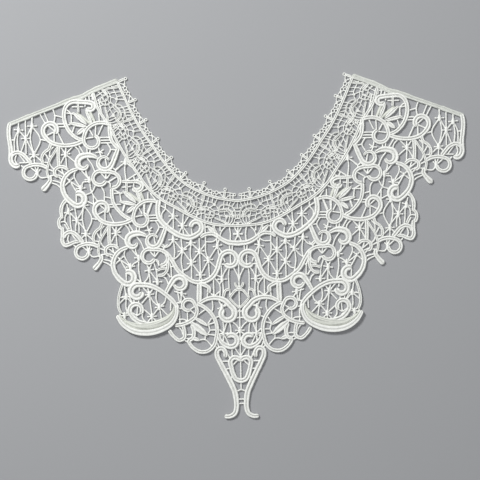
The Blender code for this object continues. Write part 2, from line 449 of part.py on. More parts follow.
def resampled(line, spacing, inset):
    """Points spread evenly along a line, about every spacing, and their places as a share of it."""
    reach = reach_along(line)
    count = max(2, round((reach[-1] - 2 * inset) / spacing) + 1)
    at = np.linspace(inset, reach[-1] - inset, count)
    return np.stack([np.interp(at, reach, line[:, k]) for k in (0, 1)], axis=1), at / reach[-1]


def evenly_divided(route, count):
    """A smooth line from the centre front in count equal lengths."""
    line = smooth_line(route, STEP)
    reach = reach_along(line)
    at = np.linspace(0, reach[-1], count + 1)
    return np.stack([np.interp(at, reach, line[:, k]) for k in (0, 1)], axis=1)


class Threads:
    """What one piece is worked from: flat ribbons as triangles, and crown lines that are raised."""

    def __init__(self, placing=None):
        self.placing = placing
        self.triangles = []
        self.crowns = []

    def placed(self, line):
        """The line where this piece has it."""
        line = np.array(line, dtype=float)
        if self.placing is None:
            return line
        p = self.placing
        from_pivot = line[:, 0] - p.about_x
        x = p.about_x + p.shift_x + from_pivot * p.narrowing
        return np.stack([x, line[:, 1] + p.shift_y + from_pivot * p.lean], axis=1)

    def add_ribbon(self, line, widths, top=None):
        """A ribbon along a line. With a top, its middle is raised to that height."""
        line = self.placed(line)
        widths = np.broadcast_to(widths, len(line))
        self.triangles += ribbon(line, widths)
        if top:
            points, at = resampled(line, CROWN_STEP, CROWN_INSET)
            margins = CROWN_MARGIN * np.interp(at, np.linspace(0, 1, len(line)), widths)
            self.crowns.append((points, margins, top))

    def add_cords(self, cords):
        for cord in cords:
            line = cord_line(cord)
            top = CORD_TOP if cord.width >= NARROWEST_CROWN else None
            self.add_ribbon(line, np.linspace(cord.width, cord.tip_width, len(line)), top)

    def add_leaves(self, leaves):
        for leaf in leaves:
            line = np.linspace(leaf.tip, leaf.foot, LEAF_SECTIONS)
            along = np.linspace(LEAF_BLUNTNESS, 1 - LEAF_BLUNTNESS, len(line))
            self.add_ribbon(line, leaf.width * np.sin(math.pi * along) ** SPINDLE_FULLNESS, CORD_TOP)

    def add_stars(self, stars):
        for star in stars:
            middle = np.array([star.x, star.y])
            height = np.array([0, STAR_REACH])
            self.add_ribbon([middle - height, middle, middle + height], STAR_WIDTHS)
            self.add_brides([[(star.x, star.y)] + route for route in star.brides_to])

    def add_brides(self, routes):
        for route in routes:
            line = smooth_line(route, STEP) if len(route) > 2 else route
            self.add_ribbon(line, BRIDE_WIDTH)

    def with_mirror_image(self):
        """These threads and their mirror image, for a piece that crosses the centre front."""
        flip = np.array([-1, 1])
        self.triangles += [[corner * flip for corner in t] for t in self.triangles]
        self.crowns += [(points * flip, margins, top) for points, margins, top in self.crowns]
        return self


# ---- cutting one sheet ----

def triangle_area(triangle):
    (ax, ay), (bx, by), (cx, cy) = triangle
    return ((bx - ax) * (cy - ay) - (cx - ax) * (by - ay)) / 2


def turn(a, b, c):
    """Positive where the way from a over b to c turns left. Each may be one point or many."""
    first = b - a
    second = c - a
    return first[..., 0] * second[..., 1] - first[..., 1] * second[..., 0]


def split_plane(points, edges):
    """Delaunay triangles of the plane that keep the given edges, and the source of each vertex."""
    points = [tuple(map(float, p)) for p in points]
    verts, _, tris, sources, _, _ = delaunay_2d_cdt(points, edges, [], 0, MERGE, True)
    return np.array([tuple(v) for v in verts]), [tuple(t) for t in tris], sources


def covered_by(points, triangles):
    """Which of the points lie in any of the triangles."""
    covered = np.zeros(len(points), dtype=bool)
    for a, b, c in triangles:
        low = np.minimum(np.minimum(a, b), c)
        high = np.maximum(np.maximum(a, b), c)
        near = ((points >= low) & (points <= high)).all(axis=1)
        p = points[near]
        sides = np.array([turn(a, b, p), turn(b, c, p), turn(c, a, p)])
        covered[near] |= (sides * np.sign(turn(a, b, c)) >= 0).all(axis=0)
    return covered


def union_less(own, neighbours):
    """The triangles of the plane inside any of own, and clear of the neighbours by a seam."""
    own = np.array([t for t in own if abs(triangle_area(t)) > THINNEST_TRIANGLE])
    rims = [rim for sheet in neighbours for loop in sheet.loops for rim in rim_of(loop, SEAM)]
    points = []
    edges = []
    for corners in [*own, *rims]:
        first = len(points)
        points.extend(corners)
        edges += [(first + i, first + (i + 1) % len(corners)) for i in range(len(corners))]
    verts, tris, _ = split_plane(points, edges)
    middles = verts[np.array(tris)].mean(axis=1)
    kept = np.flatnonzero(covered_by(middles, own))
    for sheet in neighbours:
        kept = kept[away_from_edges(middles[kept], sheet.loops) < -SEAM]
    return verts, [tris[i] for i in kept]


def largest_part(verts, tris):
    """The triangles of the largest piece that hangs together over shared edges."""
    by_edge = {}
    for i, t in enumerate(tris):
        for a, b in ((t[0], t[1]), (t[1], t[2]), (t[2], t[0])):
            by_edge.setdefault((min(a, b), max(a, b)), []).append(i)
    links = [[] for _ in tris]
    for pair in by_edge.values():
        if len(pair) == 2:
            links[pair[0]].append(pair[1])
            links[pair[1]].append(pair[0])
    unseen = set(range(len(tris)))
    best = []
    best_area = 0.0
    while unseen:
        stack = [unseen.pop()]
        part = []
        while stack:
            i = stack.pop()
            part.append(i)
            for j in links[i]:
                if j in unseen:
                    unseen.remove(j)
                    stack.append(j)
        area = sum(triangle_area([verts[k] for k in tris[i]]) for i in part)
        if area > best_area:
            best, best_area = part, area
    return [tris[i] for i in best]


def boundary_of(tris):
    """Each boundary vertex of a set of triangles, with the ones that follow it."""
    edges = {(t[i], t[(i + 1) % 3]) for t in tris for i in range(3)}
    follows = {}
    for a, b in edges:
        if (b, a) not in edges:
            follows.setdefault(a, []).append(b)
    return follows


def loops_of(follows):
    """Closed boundary loops. Every vertex has just one that follows it."""
    left = {a: b[0] for a, b in follows.items()}
    loops = []
    while left:
        start, here = left.popitem()
        loop = [start]
        while here != start:
            loop.append(here)
            here = left.pop(here)
        loops.append(loop)
    return loops


def loop_area(loop):
    x, y = np.asarray(loop).T
    return float(np.dot(x, np.roll(y, -1)) - np.dot(y, np.roll(x, -1))) / 2


def thinned(points, errors):
    """An open line without the points that it may miss by their own error (Douglas-Peucker)."""
    if len(points) < 3:
        return list(points)
    a, b = points[0], points[-1]
    along = b - a
    length = np.linalg.norm(along)
    inner = points[1:-1] - a
    if length < 1e-9:
        away = np.linalg.norm(inner, axis=1)
    else:
        away = np.abs(inner[:, 0] * along[1] - inner[:, 1] * along[0]) / length
    missed = away / errors[1:-1]
    worst = int(np.argmax(missed)) + 1
    if missed[worst - 1] <= 1:
        return [a, b]
    return thinned(points[:worst + 1], errors[:worst + 1])[:-1] + thinned(points[worst:], errors[worst:])


def thinned_loop(loop, errors):
    """A closed loop, thinned in two halves from its lowest point and the point farthest from that."""
    start = int(np.argmin(loop[:, 1]))
    points = np.roll(loop, -start, axis=0)
    errors = np.roll(errors, -start)
    far = int(np.argmax(np.linalg.norm(points - points[0], axis=1)))
    points = np.vstack([points, points[:1]])
    errors = np.append(errors, errors[0])
    first = thinned(points[:far + 1], errors[:far + 1])
    second = thinned(points[far:], errors[far:])
    return np.array(first[:-1] + second[:-1])


def away_from_edges(points, loops):
    """How far each point is from the nearest edge of a sheet, negative outside the sheet."""
    x, y = points.T
    nearest = np.full(len(points), np.inf)
    inside = np.zeros(len(points), dtype=bool)
    for loop in loops:
        for (ax, ay), (bx, by) in zip(loop, np.roll(loop, -1, axis=0)):
            dx, dy = bx - ax, by - ay
            f = np.clip(((x - ax) * dx + (y - ay) * dy) / (dx * dx + dy * dy), 0, 1)
            nearest = np.minimum(nearest, (x - ax - f * dx) ** 2 + (y - ay - f * dy) ** 2)
            if dy:
                inside ^= ((ay > y) != (by > y)) & (ax + (y - ay) * dx / dy > x)
    return np.where(inside, 1, -1) * np.sqrt(nearest)


def loops_that_cross(loops):
    """The loops that cross another loop or themselves."""
    starts = np.concatenate(loops)
    ends = np.concatenate([np.roll(loop, -1, axis=0) for loop in loops])
    owners = np.concatenate([np.full(len(loop), i) for i, loop in enumerate(loops)])
    crossing = set()
    for a, b, owner in zip(starts, ends, owners):
        parted = turn(a, b, starts) * turn(a, b, ends) < 0
        crossed = parted & (turn(starts, ends, a) * turn(starts, ends, b) < 0)
        if crossed.any():
            crossing |= {owner} | set(owners[crossed])
    return crossing


def square_at(middle, size):
    x, y = middle
    h = size / 2
    corners = np.array([[x - h, y - h], [x + h, y - h], [x + h, y + h], [x - h, y + h]])
    return [[corners[0], corners[1], corners[2]], [corners[0], corners[2], corners[3]]]


def rim_of(loop, reach):
    """A rectangle round each edge of a loop that leaves reach on every side."""
    rim = []
    for a, b in zip(loop, np.roll(loop, -1, axis=0)):
        along = (b - a) / np.linalg.norm(b - a) * reach
        across = np.array([-along[1], along[0]])
        rim.append([a - along - across, b + along - across, b + along + across, a - along + across])
    return rim


class Sheet:
    """One piece in plan: its loops, outer one first, and the triangles that fill it, with their tops."""

    def __init__(self, name, loops, verts, tris, tops):
        self.name = name
        self.loops = loops
        self.verts = verts
        self.tris = tris
        self.tops = tops

    def mirrored(self, name):
        """The same piece on the other side of the centre front."""
        flip = np.array([-1, 1])
        loops = [(loop * flip)[::-1] for loop in self.loops]
        return Sheet(name, loops, self.verts * flip, [t[::-1] for t in self.tris], self.tops)


def cut_sheet(name, threads, neighbours):
    """Joins a piece's threads into one sheet, clear of its neighbours, with its gaps cut through."""
    own = list(threads.triangles)
    while True:
        verts, tris = union_less(own, neighbours)
        tris = largest_part(verts, tris)
        follows = boundary_of(tris)
        pinches = [v for v, after in follows.items() if len(after) > 1]
        if not pinches:
            break
        for v in pinches:
            own += square_at(verts[v], PINCH_PATCH)
    loops = [verts[loop] for loop in loops_of(follows)]
    outer = max(loops, key=loop_area)
    gaps = [loop for loop in loops if -loop_area(loop) >= SMALLEST_GAP]
    loops = thinned_loops([outer] + gaps, neighbours)
    print(name, "has", len(gaps), "gaps")
    return Sheet(name, loops, *raised_plan(loops, threads.crowns))


def thinned_loops(loops, neighbours):
    """Drops the points that an outline doesn't need, and fewer of them along a seam or a thin place."""
    errors = [np.full(len(loop), OUTLINE_ERROR) for loop in loops]
    for sheet in neighbours:
        for loop, error in zip(loops, errors):
            error[away_from_edges(loop, sheet.loops) > -SEAM_REACH] = SEAM_ERROR
    while True:
        thin = [thinned_loop(loop, error) for loop, error in zip(loops, errors)]
        crossing = loops_that_cross(thin)
        if not crossing:
            return thin
        for i in crossing:
            errors[i] = errors[i] * 0.6


def raised_plan(loops, crowns):
    """Fills the loops with triangles, whose corners are the loops' points and the raised ones."""
    points = []
    edges = []
    for loop in loops:
        first = len(points)
        points.extend(loop)
        edges += [(first + i, first + (i + 1) % len(loop)) for i in range(len(loop))]
    heights = {}
    for line, margins, top in crowns:
        clear = away_from_edges(line, loops) > margins
        middles = (line[1:] + line[:-1]) / 2
        linked = away_from_edges(middles, loops) > margins[1:] * 0.6
        for i in np.flatnonzero(clear):
            heights[len(points)] = top
            if i and clear[i - 1] and linked[i - 1]:
                edges.append((len(points) - 1, len(points)))
            points.append(line[i])
    verts, tris, sources = split_plane(points, edges)
    inside = away_from_edges(verts[np.array(tris)].mean(axis=1), loops) > 0
    tris = [tris[i] for i in np.flatnonzero(inside)]
    rim = set(boundary_of(tris))
    tops = []
    for i, source in enumerate(sources):
        raised = [heights[k] for k in source if k in heights]
        tops.append(GROUND if i in rim else max(raised, default=CORD_TOP))
    return verts, tris, tops


# ---- the pieces ----

def shoulder_bar():
    """The straight cord along the shoulder seam, from the neck to the outer corner."""
    threads = Threads()
    threads.add_cords([SHOULDER_CORD])
    return threads


def neck_band():
    """The net between the neck cord and the band's outer cord, all round the front."""
    threads = Threads()
    neck = evenly_divided(NECK_LINE, BAND_SECTIONS)
    edge = evenly_divided(BAND_EDGE, BAND_SECTIONS)
    for i in range(BAND_SECTIONS):
        threads.triangles.append([neck[i], edge[i], edge[i + 1]])
        threads.triangles.append([neck[i], edge[i + 1], neck[i + 1]])
    threads.add_ribbon(neck, NECK_CORD, CORD_TOP)
    threads.add_ribbon(edge, BAND_CORD, CORD_TOP)
    # The net lies flat between the two cords, so each has a line of low points along its foot.
    across = (edge - neck) / np.linalg.norm(edge - neck, axis=1)[:, None]
    for foot in (neck + across * NECK_CORD, edge - across * BAND_CORD):
        points, _ = resampled(foot, CROWN_STEP, CROWN_INSET)
        threads.crowns.append((points, np.full(len(points), BAND_CORD / 2), GROUND))
    return threads.with_mirror_image()


def neck_edging():
    """A chain that follows the neck cord on its inner side and carries the pegs."""
    threads = Threads()
    chain = evenly_divided(NECK_LINE, CHAIN_SECTIONS)
    chain = chain - normals_of(chain) * CHAIN_OFFSET
    chain[0, 0] = 0.0
    threads.add_ribbon(chain, CHAIN_WIDTH)
    for x, y in PEGS:
        tip = np.array([x, y])
        foot = chain[np.argmin(np.linalg.norm(chain - tip, axis=1))]
        threads.add_ribbon([foot, tip], PEG_STEM)
        angles = np.linspace(0, 2 * math.pi, PEG_SIDES + 1)
        ring = tip + PEG_RING / 2 * np.stack([np.cos(angles), np.sin(angles)], axis=1)
        threads.triangles += [[tip, a, b] for a, b in zip(ring, ring[1:])]
    return threads.with_mirror_image()


def scroll_wing(placing):
    """The wing that both the upper and the lower piece are worked from."""
    threads = Threads(placing)
    threads.add_cords(WING_CORDS)
    threads.add_leaves(WING_LEAVES)
    threads.add_stars(WING_STARS)
    threads.add_brides(WING_BRIDES)
    threads.placing = None
    return threads


def wing_upper():
    """The wing hung from the shoulder bar, with its outer cord and a wide scroll at the top."""
    threads = scroll_wing(None)
    threads.add_cords(UPPER_CORDS)
    threads.add_brides(UPPER_BRIDES)
    return threads


def wing_lower():
    """The wing again, lower down, with a scalloped outer edge and a loop towards the front."""
    threads = scroll_wing(LOWER_WING)
    threads.add_cords(LOWER_CORDS)
    threads.add_stars(LOWER_STARS)
    threads.add_brides(LOWER_BRIDES)
    return threads


def crescent():
    """A padded satin crescent under the lobe: thick in the middle, round across."""
    threads = Threads()
    line = smooth_line(CRESCENT.route, STEP)
    along = np.linspace(0, 1, len(line))
    widths = CRESCENT_TIP + (CRESCENT.width - CRESCENT_TIP) * np.sin(math.pi * along) ** SPINDLE_FULLNESS
    threads.add_ribbon(line, widths, PAD_TOP)
    slope_height = (GROUND + 2 * PAD_TOP) / 3
    for side in (-1, 1):
        slope = line + side * normals_of(line) * widths[:, None] * PAD_SLOPE_AT
        points, _ = resampled(slope, CROWN_STEP, 2 * CROWN_INSET)
        threads.crowns.append((points, np.full(len(points), PAD_SLOPE_MARGIN), slope_height))
    return threads


def front_panel():
    """The panel under the band: two hooked scrolls, a smile, two cups with twin rings, and stars."""
    threads = Threads()
    threads.add_cords(FRONT_CORDS)
    threads.add_leaves(FRONT_LEAVES)
    threads.add_stars(FRONT_STARS)
    threads.add_brides(FRONT_BRIDES)
    return threads.with_mirror_image()


def lobe():
    """The round lobe that a crescent carries."""
    threads = Threads()
    threads.add_cords(LOBE_CORDS)
    threads.add_stars(LOBE_STARS)
    threads.add_brides(LOBE_BRIDES)
    return threads


def bow():
    """The bow beside the pendant: an S cord, an arch with a ring, a looped bow and its leaves."""
    threads = Threads()
    threads.add_cords(BOW_CORDS)
    threads.add_leaves(BOW_LEAVES)
    threads.add_stars(BOW_STARS)
    threads.add_brides(BOW_BRIDES)
    return threads


def pendant():
    """The pointed centre: a mast of brides, two low scrolls, a heart and the forked tail."""
    threads = Threads()
    threads.add_cords(PENDANT_CORDS)
    threads.add_stars(PENDANT_STARS)
    threads.add_brides(PENDANT_BRIDES)
    return threads.with_mirror_image()


def plan_sheets():
    """Every piece in plan. Each gives way, by a seam, to the pieces before it."""
    sheets = []
    for name, work, is_pair in (
            ("shoulder_bar", shoulder_bar, True),
            ("neck_band", neck_band, False),
            ("neck_edging", neck_edging, False),
            ("crescent", crescent, True),
            ("wing_upper", wing_upper, True),
            ("front_panel", front_panel, False),
            ("wing_lower", wing_lower, True),
            ("lobe", lobe, True),
            ("bow", bow, True),
            ("pendant", pendant, False)):
        if is_pair:
            left = cut_sheet(name + "_left", work(), sheets)
            sheets += [left, left.mirrored(name + "_right")]
        else:
            sheets.append(cut_sheet(name, work(), sheets))
    return sheets


# ---- Blender objects ----

def lace_material(name):
    material = bpy.data.materials.new(name)
    material.use_nodes = True
    shader = material.node_tree.nodes["Principled BSDF"]
    shader.inputs["Base Color"].default_value = LACE_COLOUR
    shader.inputs["Roughness"].default_value = LACE_ROUGHNESS
    shader.inputs["Metallic"].default_value = 0.0
    return material


def raise_sheet(sheet, collection):
    """A flat plan extruded to the ground's height, with its crown points lifted above that."""
    mesh = bpy.data.meshes.new(sheet.name)
    bm = bmesh.new()
    used = sorted({v for t in sheet.tris for v in t})
    flat = {v: bm.verts.new((sheet.verts[v][0] * MM, sheet.verts[v][1] * MM, 0.0)) for v in used}
    for t in sheet.tris:
        bm.faces.new([flat[v] for v in t])
    height_at = {tuple(flat[v].co.xy): sheet.tops[v] * MM for v in used}
    lifted = bmesh.ops.extrude_face_region(bm, geom=bm.faces[:], use_keep_orig=True)
    for element in lifted["geom"]:
        if isinstance(element, bmesh.types.BMVert):
            element.co.z = height_at[tuple(element.co.xy)]
    bmesh.ops.recalc_face_normals(bm, faces=bm.faces[:])
    bm.to_mesh(mesh)
    bm.free()
    mesh.materials.append(lace_material(sheet.name + "_thread"))
    collection.objects.link(bpy.data.objects.new(sheet.name, mesh))


def main():
    for old in list(bpy.data.objects):
        bpy.data.objects.remove(old, do_unlink=True)
    collection = bpy.data.collections.new("lace_collar")
    bpy.context.scene.collection.children.link(collection)
    for sheet in plan_sheets():
        raise_sheet(sheet, collection)


main()
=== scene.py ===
# %% [markdown]
# # A guipure lace collar
# Guipure is lace with no ground. A machine stitches cords, satin leaves and thin bars on a film,
# and the film is washed away, so that only thread is left and the bars hold it together. This
# lesson works a whole collar of it. Charts say where each cord runs, a few functions turn a row
# of a chart into stitched cord with real thickness, and five finishes make it cotton.
#
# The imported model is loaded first. It holds the plain pieces that the lace has to match.

# %% Load the plain pieces
import math
from collections import namedtuple

import bpy
import numpy as np
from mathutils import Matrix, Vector


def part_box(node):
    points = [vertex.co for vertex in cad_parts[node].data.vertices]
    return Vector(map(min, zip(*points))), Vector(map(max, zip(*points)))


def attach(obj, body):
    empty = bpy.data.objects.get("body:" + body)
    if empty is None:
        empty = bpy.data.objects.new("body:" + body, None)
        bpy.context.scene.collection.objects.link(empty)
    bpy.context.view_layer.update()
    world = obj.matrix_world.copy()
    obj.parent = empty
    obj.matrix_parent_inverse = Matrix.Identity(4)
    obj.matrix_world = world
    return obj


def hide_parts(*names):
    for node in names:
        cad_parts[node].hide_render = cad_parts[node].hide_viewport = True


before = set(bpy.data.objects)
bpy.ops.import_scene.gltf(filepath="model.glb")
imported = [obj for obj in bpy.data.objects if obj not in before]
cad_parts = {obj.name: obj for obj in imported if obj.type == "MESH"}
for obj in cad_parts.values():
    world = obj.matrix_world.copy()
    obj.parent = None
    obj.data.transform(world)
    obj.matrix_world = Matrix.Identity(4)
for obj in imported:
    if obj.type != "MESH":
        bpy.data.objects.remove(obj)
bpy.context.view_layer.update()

MM = 0.001
print("plain pieces:", sorted(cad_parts))

# %% [markdown]
# ## Writing a finish as a sum
# A material's pattern could be wired by hand, node by node. It reads better as arithmetic: the
# class below holds one node's output, and `1 - groove * 0.4` adds the Math nodes for it.
# Colours don't go through it, because a Math node would turn them grey.

# %% Arithmetic on node outputs
class Strand:
    """One output of a node in a finish. Arithmetic with it adds Math nodes."""

    def __init__(self, finish, socket):
        self.finish = finish
        self.socket = socket

    def other(self, name):
        """Another output of the same node."""
        return Strand(self.finish, self.socket.node.outputs[name])

    def maths(self, operation, *terms):
        return self.finish.node("ShaderNodeMath", {"operation": operation}, dict(enumerate(terms)))

    def __add__(self, term):
        return self.maths("ADD", self, term)

    def __sub__(self, term):
        return self.maths("SUBTRACT", self, term)

    def __rsub__(self, term):
        return self.maths("SUBTRACT", term, self)

    def __mul__(self, term):
        return self.maths("MULTIPLY", self, term)

    def __abs__(self):
        return self.maths("ABSOLUTE", self)

    def sine(self):
        return self.maths("SINE", self)

    def above_zero(self):
        return self.maths("MAXIMUM", self, 0.0)


# %% [markdown]
# ## Adding a node
# A material is a graph of nodes. One method adds any of them: it sets what the node is to do first,
# and then gives each socket a number, a colour or another node's output.

# %% A material in the making
class Finish:
    """A material, with one way to add any node."""

    def __init__(self, name):
        self.material = bpy.data.materials.new(name)
        self.material.use_nodes = True
        self.nodes = self.material.node_tree.nodes
        self.links = self.material.node_tree.links

    def node(self, kind, settings, sockets, output=0):
        made = self.nodes.new(kind)
        for key, value in settings.items():
            setattr(made, key, value)
        self.plug(made, sockets)
        return Strand(self, made.outputs[output])

    def plug(self, node, sockets):
        for key, value in sockets.items():
            if isinstance(value, Strand):
                self.links.new(value.socket, node.inputs[key])
            else:
                node.inputs[key].default_value = value


# %% [markdown]
# ## Cotton that has been stitched
# Every thread in this lace is the same pale cotton. What changes is how it lies. In satin stitch
# the threads run across the cord, side by side, so light catches them as fine ribs, and the finish
# paints shade between the ribs too. The seam down the middle of a cord, where the needle goes in,
# is darkened with painted shade, and so are a cord's sides and the gaps between lengthwise threads.
# A wrapped bar has the same ribs at a slant. Each thread carries a map of how far one is across it
# and along it, and the finish reads that map, so the ribs and the painted shade follow every curve.
# A picture of stitches would not.

# %% Stitched cotton
STITCH_MAP = "stitches"
MAP_UNIT = 10.0  # millimetres: along a thread the map counts in centimetres
# The darkest colour of the cotton: painted shade in the seam, at the sides, between ribs and between
# lengthwise threads, and the grey of random blots.
PAINTED_SHADE_AND_BLOT_COLOUR = (0.36, 0.37, 0.34, 1.0)
FULL_LIGHT = 1.3  # over one, so that a shallow hollow doesn't darken the cotton at once
FUZZ_SIZE = 2600.0  # noise, in waves to the metre, from lint to a patch worn flat
TUFT_SIZE = 620.0
PATCH_SIZE = 90.0
FUZZ_SHIFT = 2.5  # how far lint moves a stitch, in radians
# Painted shade: how sharply it falls off from the seam, where it starts towards a cord's sides, how dark
# it is there and between ribs.
SEAM_SHARPNESS = 2.7
FLANK_STARTS = 0.82  # from the middle to the side
FLANK_SHADE = 2.5
RIB_SHADE = 0.16
RIB_DEPTH = 0.00016
# Painted shade between lengthwise threads, where this noise rises over THREAD_STARTS.
THREADS_ACROSS = (4.5, 0.35, 1.0)  # lengthwise threads: noise across and along the map
THREAD_STARTS = 0.45


def cotton(name, white, pitch, slant, seam, streaks, ribs, roughness):
    """Stitched cotton. pitch is from stitch to stitch in millimetres, slant how much stitches lean,
    seam how much painted shade darkens the middle, streaks how much painted shade falls between
    lengthwise threads, and ribs how strongly the stitches show in relief."""
    finish = Finish(name)

    def noise(vector, scale, detail):
        return finish.node(
            "ShaderNodeTexNoise", {}, {"Vector": vector, "Scale": scale, "Detail": detail})

    place = finish.node("ShaderNodeTexCoord", {}, {}, "Object")
    fuzz = noise(place, FUZZ_SIZE, 2.0)
    stitches = finish.node("ShaderNodeUVMap", {"uv_map": STITCH_MAP}, {})
    across = finish.node("ShaderNodeSeparateXYZ", {}, {0: stitches})
    side = abs(across * 2 - 1)
    turn = across.other("Y") * (2 * math.pi * MAP_UNIT / pitch) + side * slant + fuzz * FUZZ_SHIFT
    rib = turn.sine() * 0.5 + 0.5
    # Painted shade: darker down the seam, on the cord's sides and between the stitch ribs.
    middle = (1 - side * SEAM_SHARPNESS).above_zero() * seam
    painted_flank_shade = (side - FLANK_STARTS).above_zero() * FLANK_SHADE
    laid = finish.node("ShaderNodeMapping", {}, {"Vector": stitches, "Scale": THREADS_ACROSS})
    painted_hollow_shade = middle + painted_flank_shade + (1 - rib) * RIB_SHADE
    blots = noise(place, PATCH_SIZE, 3.0) * 0.2 + noise(place, TUFT_SIZE, 1.0) * 0.42
    # Painted shade in the gaps between lengthwise threads.
    painted_thread_gap_shade = (noise(laid, 1.0, 1.0) - THREAD_STARTS).above_zero() * streaks
    # How far the colour goes from the darkest towards white: painted shade and random blots take from
    # it.
    light = FULL_LIGHT - painted_hollow_shade - blots - painted_thread_gap_shade
    relief = finish.node("ShaderNodeBump", {}, {
        "Strength": ribs, "Distance": RIB_DEPTH, "Height": rib * 0.7 + fuzz * 0.5})
    finish.plug(finish.nodes["Principled BSDF"], {
        "Base Color": finish.node(
            "ShaderNodeMix", {"data_type": "RGBA"}, {0: light, 6: PAINTED_SHADE_AND_BLOT_COLOUR, 7: white}, 2),
        "Normal": relief,
        "Roughness": roughness,
        "Sheen Weight": 0.25,
        "Sheen Roughness": 0.45,
        "Specular IOR Level": 0.35,
    })
    return finish.material


# %% [markdown]
# ## Five finishes
# The cords, bars and leaves are the whitest. The crescent's pad is duller, and its threads run
# lengthwise, with strong painted shade between them. The shoulder bar has coarse ribs, is a little
# grey and has painted shade between its threads too. One material with a mask could hold all five,
# but a name for each is easier to change.

# %% Five finishes of one cotton
WHITE = (0.89, 0.90, 0.86, 1.0)
PAD_WHITE = (0.74, 0.76, 0.69, 1.0)
SHOULDER_WHITE = (0.70, 0.72, 0.67, 1.0)
FINISHES = [
    cotton("satin_cord_cotton", WHITE,
           pitch=0.55, slant=1.8, seam=0.55, streaks=0.3, ribs=0.55, roughness=0.58),
    cotton("wrapped_bar_cotton", WHITE,
           pitch=0.6, slant=3.0, seam=0.0, streaks=0.3, ribs=0.5, roughness=0.66),
    cotton("satin_leaf_cotton", WHITE,
           pitch=0.5, slant=5.0, seam=0.4, streaks=0.6, ribs=0.5, roughness=0.55),
    cotton("padded_satin_cotton", PAD_WHITE,
           pitch=0.5, slant=0.6, seam=0.0, streaks=4.5, ribs=0.3, roughness=0.62),
    cotton("shoulder_cotton", SHOULDER_WHITE,
           pitch=0.7, slant=1.0, seam=0.3, streaks=1.8, ribs=0.6, roughness=0.7),
]
CORD, BAR, LEAF, PAD, SHADED = range(len(FINISHES))
print("finishes:", [material.name for material in FINISHES])

# %% [markdown]
# ## The charts
# A lace designer draws one half and lets the machine mirror it, and so do these charts. They are
# in millimetres, with the middle of the neck cord's front at zero, the wearer's neck towards +Y
# and the drawn half at -X. Reading a few places along each cord keeps a chart short. A traced
# outline would be long, and it could not be changed by hand.

# %% What a row says
# A cord runs smoothly through its route, from width to tip_width. A scroll goes on from the end of
# the route round an eye, turning left by turn_degrees, and closes in to end_radius.
# The cord is wider by swell in the middle.
Cord = namedtuple("Cord", "name width tip_width route scroll swell", defaults=[None, 0.0])
Scroll = namedtuple("Scroll", "eye_x eye_y turn_degrees end_radius")
# A leaf is a satin spindle between two points, bright or dull.
Leaf = namedtuple("Leaf", "name width tip foot finish", defaults=[LEAF])
# A star is a knot with two picots. Each bar that leaves it is a route from its middle. The knot is
# the star's size, and 1 is a full one.
Star = namedtuple("Star", "x y picots_at bars_to knot", defaults=[1.0])
# The lower wing is narrower than the upper one and leans a little, about the line x = about_x.
Placing = namedtuple("Placing", "shift_x shift_y narrowing lean about_x")
LOWER_PLACE = Placing(36.9, -61.7, 0.955, 0.02, -105.0)


def chart(piece, cords, leaves, bars, stars):
    """A piece's whole chart. A bar is only a route, so it has no name."""
    print(f"{piece}: {len(bars)} bars, {len(stars)} stars and", *(row.name for row in cords + leaves))
    return cords, leaves, bars, stars


# %% [markdown]
# ## The scroll wing
# The wing is the collar's main motif: a broad scroll and a hook that curl round a flower of satin
# leaves, and rings that tie them together. It is worked twice on each side. An instance of one
# object would repeat it exactly, but the two wings differ where they meet their neighbours. So
# what they share is charted once, where the upper wing lies, and each wing adds threads of its own.

# %% What both wings share
WING_CORDS = [
    Cord("edge_arch", 3.4, 3.4, [
        (-176.6, 35.5), (-175.2, 38.6), (-171.5, 40.2), (-167, 38.6), (-163.3, 34.8), (-160.2, 31)]),
    Cord("edge_ring", 3.3, 3.3, [(-147.9, 27.6), (-152, 29.6), (-157.5, 30.4), (-162.3, 29.5)],
        Scroll(-161.6, 24.2, 262, 5.2)),
    Cord("rim", 2.2, 2.2, [
        (-139.9, 43.5), (-142.6, 39), (-145.6, 34.5), (-147.7, 29), (-148.3, 24.5), (-147, 19)]),
    Cord("ear", 2.6, 2.6, [
        (-144.8, 47), (-146.4, 42.6), (-149.6, 40.2), (-151.8, 37), (-152.1, 33.6), (-150.9, 31)]),
    Cord("strut", 3, 3, [(-139, 45), (-139.3, 37), (-139.1, 28.5)]),
    Cord("small_ring", 2.9, 2.9, [
        (-139.4, 20.3), (-142, 22.2), (-142.3, 25.6), (-139.6, 28), (-135, 28), (-131.6, 25.4)]),
    Cord("hook", 3.4, 5.4, [
        (-124.3, 26.4), (-130.2, 24.2), (-134.5, 20), (-136.6, 14), (-135.4, 7.5), (-132.6, 3),
        (-128.8, -0.6)], Scroll(-124.2, 3, 262, 4.3)),
    Cord("c_scroll", 2.6, 2.2, [(-108.4, 34.4), (-111.6, 36.1), (-115.4, 37), (-119.4, 36.6)],
        Scroll(-118.9, 31, 240, 2.3), swell=3.1),
    Cord("ring_scroll", 3.2, 1.8, [(-92.3, 42), (-94.8, 35.6), (-97.3, 29.9)],
        Scroll(-103.6, 31.1, -332, 4.2), swell=1.6),
    Cord("double_ring", 3.3, 3.3, [
        (-98.2, 11), (-94.4, 11.9), (-91.9, 15.2), (-92.2, 19.2), (-95, 22.2), (-99.8, 23.6),
        (-104.6, 23.8)], Scroll(-107.2, 18.6, 275, 5.1)),
    Cord("s_scroll", 3.4, 4.2, [
        (-120, 48), (-125, 46), (-131.5, 44.9), (-138.5, 45.3), (-144.8, 47.6), (-149.2, 52)],
        Scroll(-144.7, 57.3, -272, 4.6)),
    Cord("spike", 3, 4.8, [(-146.4, 21.4), (-145.9, 18.4), (-148, 14.8), (-152.6, 9.9)]),
    Cord("hoop", 3.2, 3.2, [(-99, 61), (-105, 62.2), (-110.6, 61.4), (-116.2, 57.6), (-118.8, 52)],
        Scroll(-112, 48, 285, 4.3)),
]
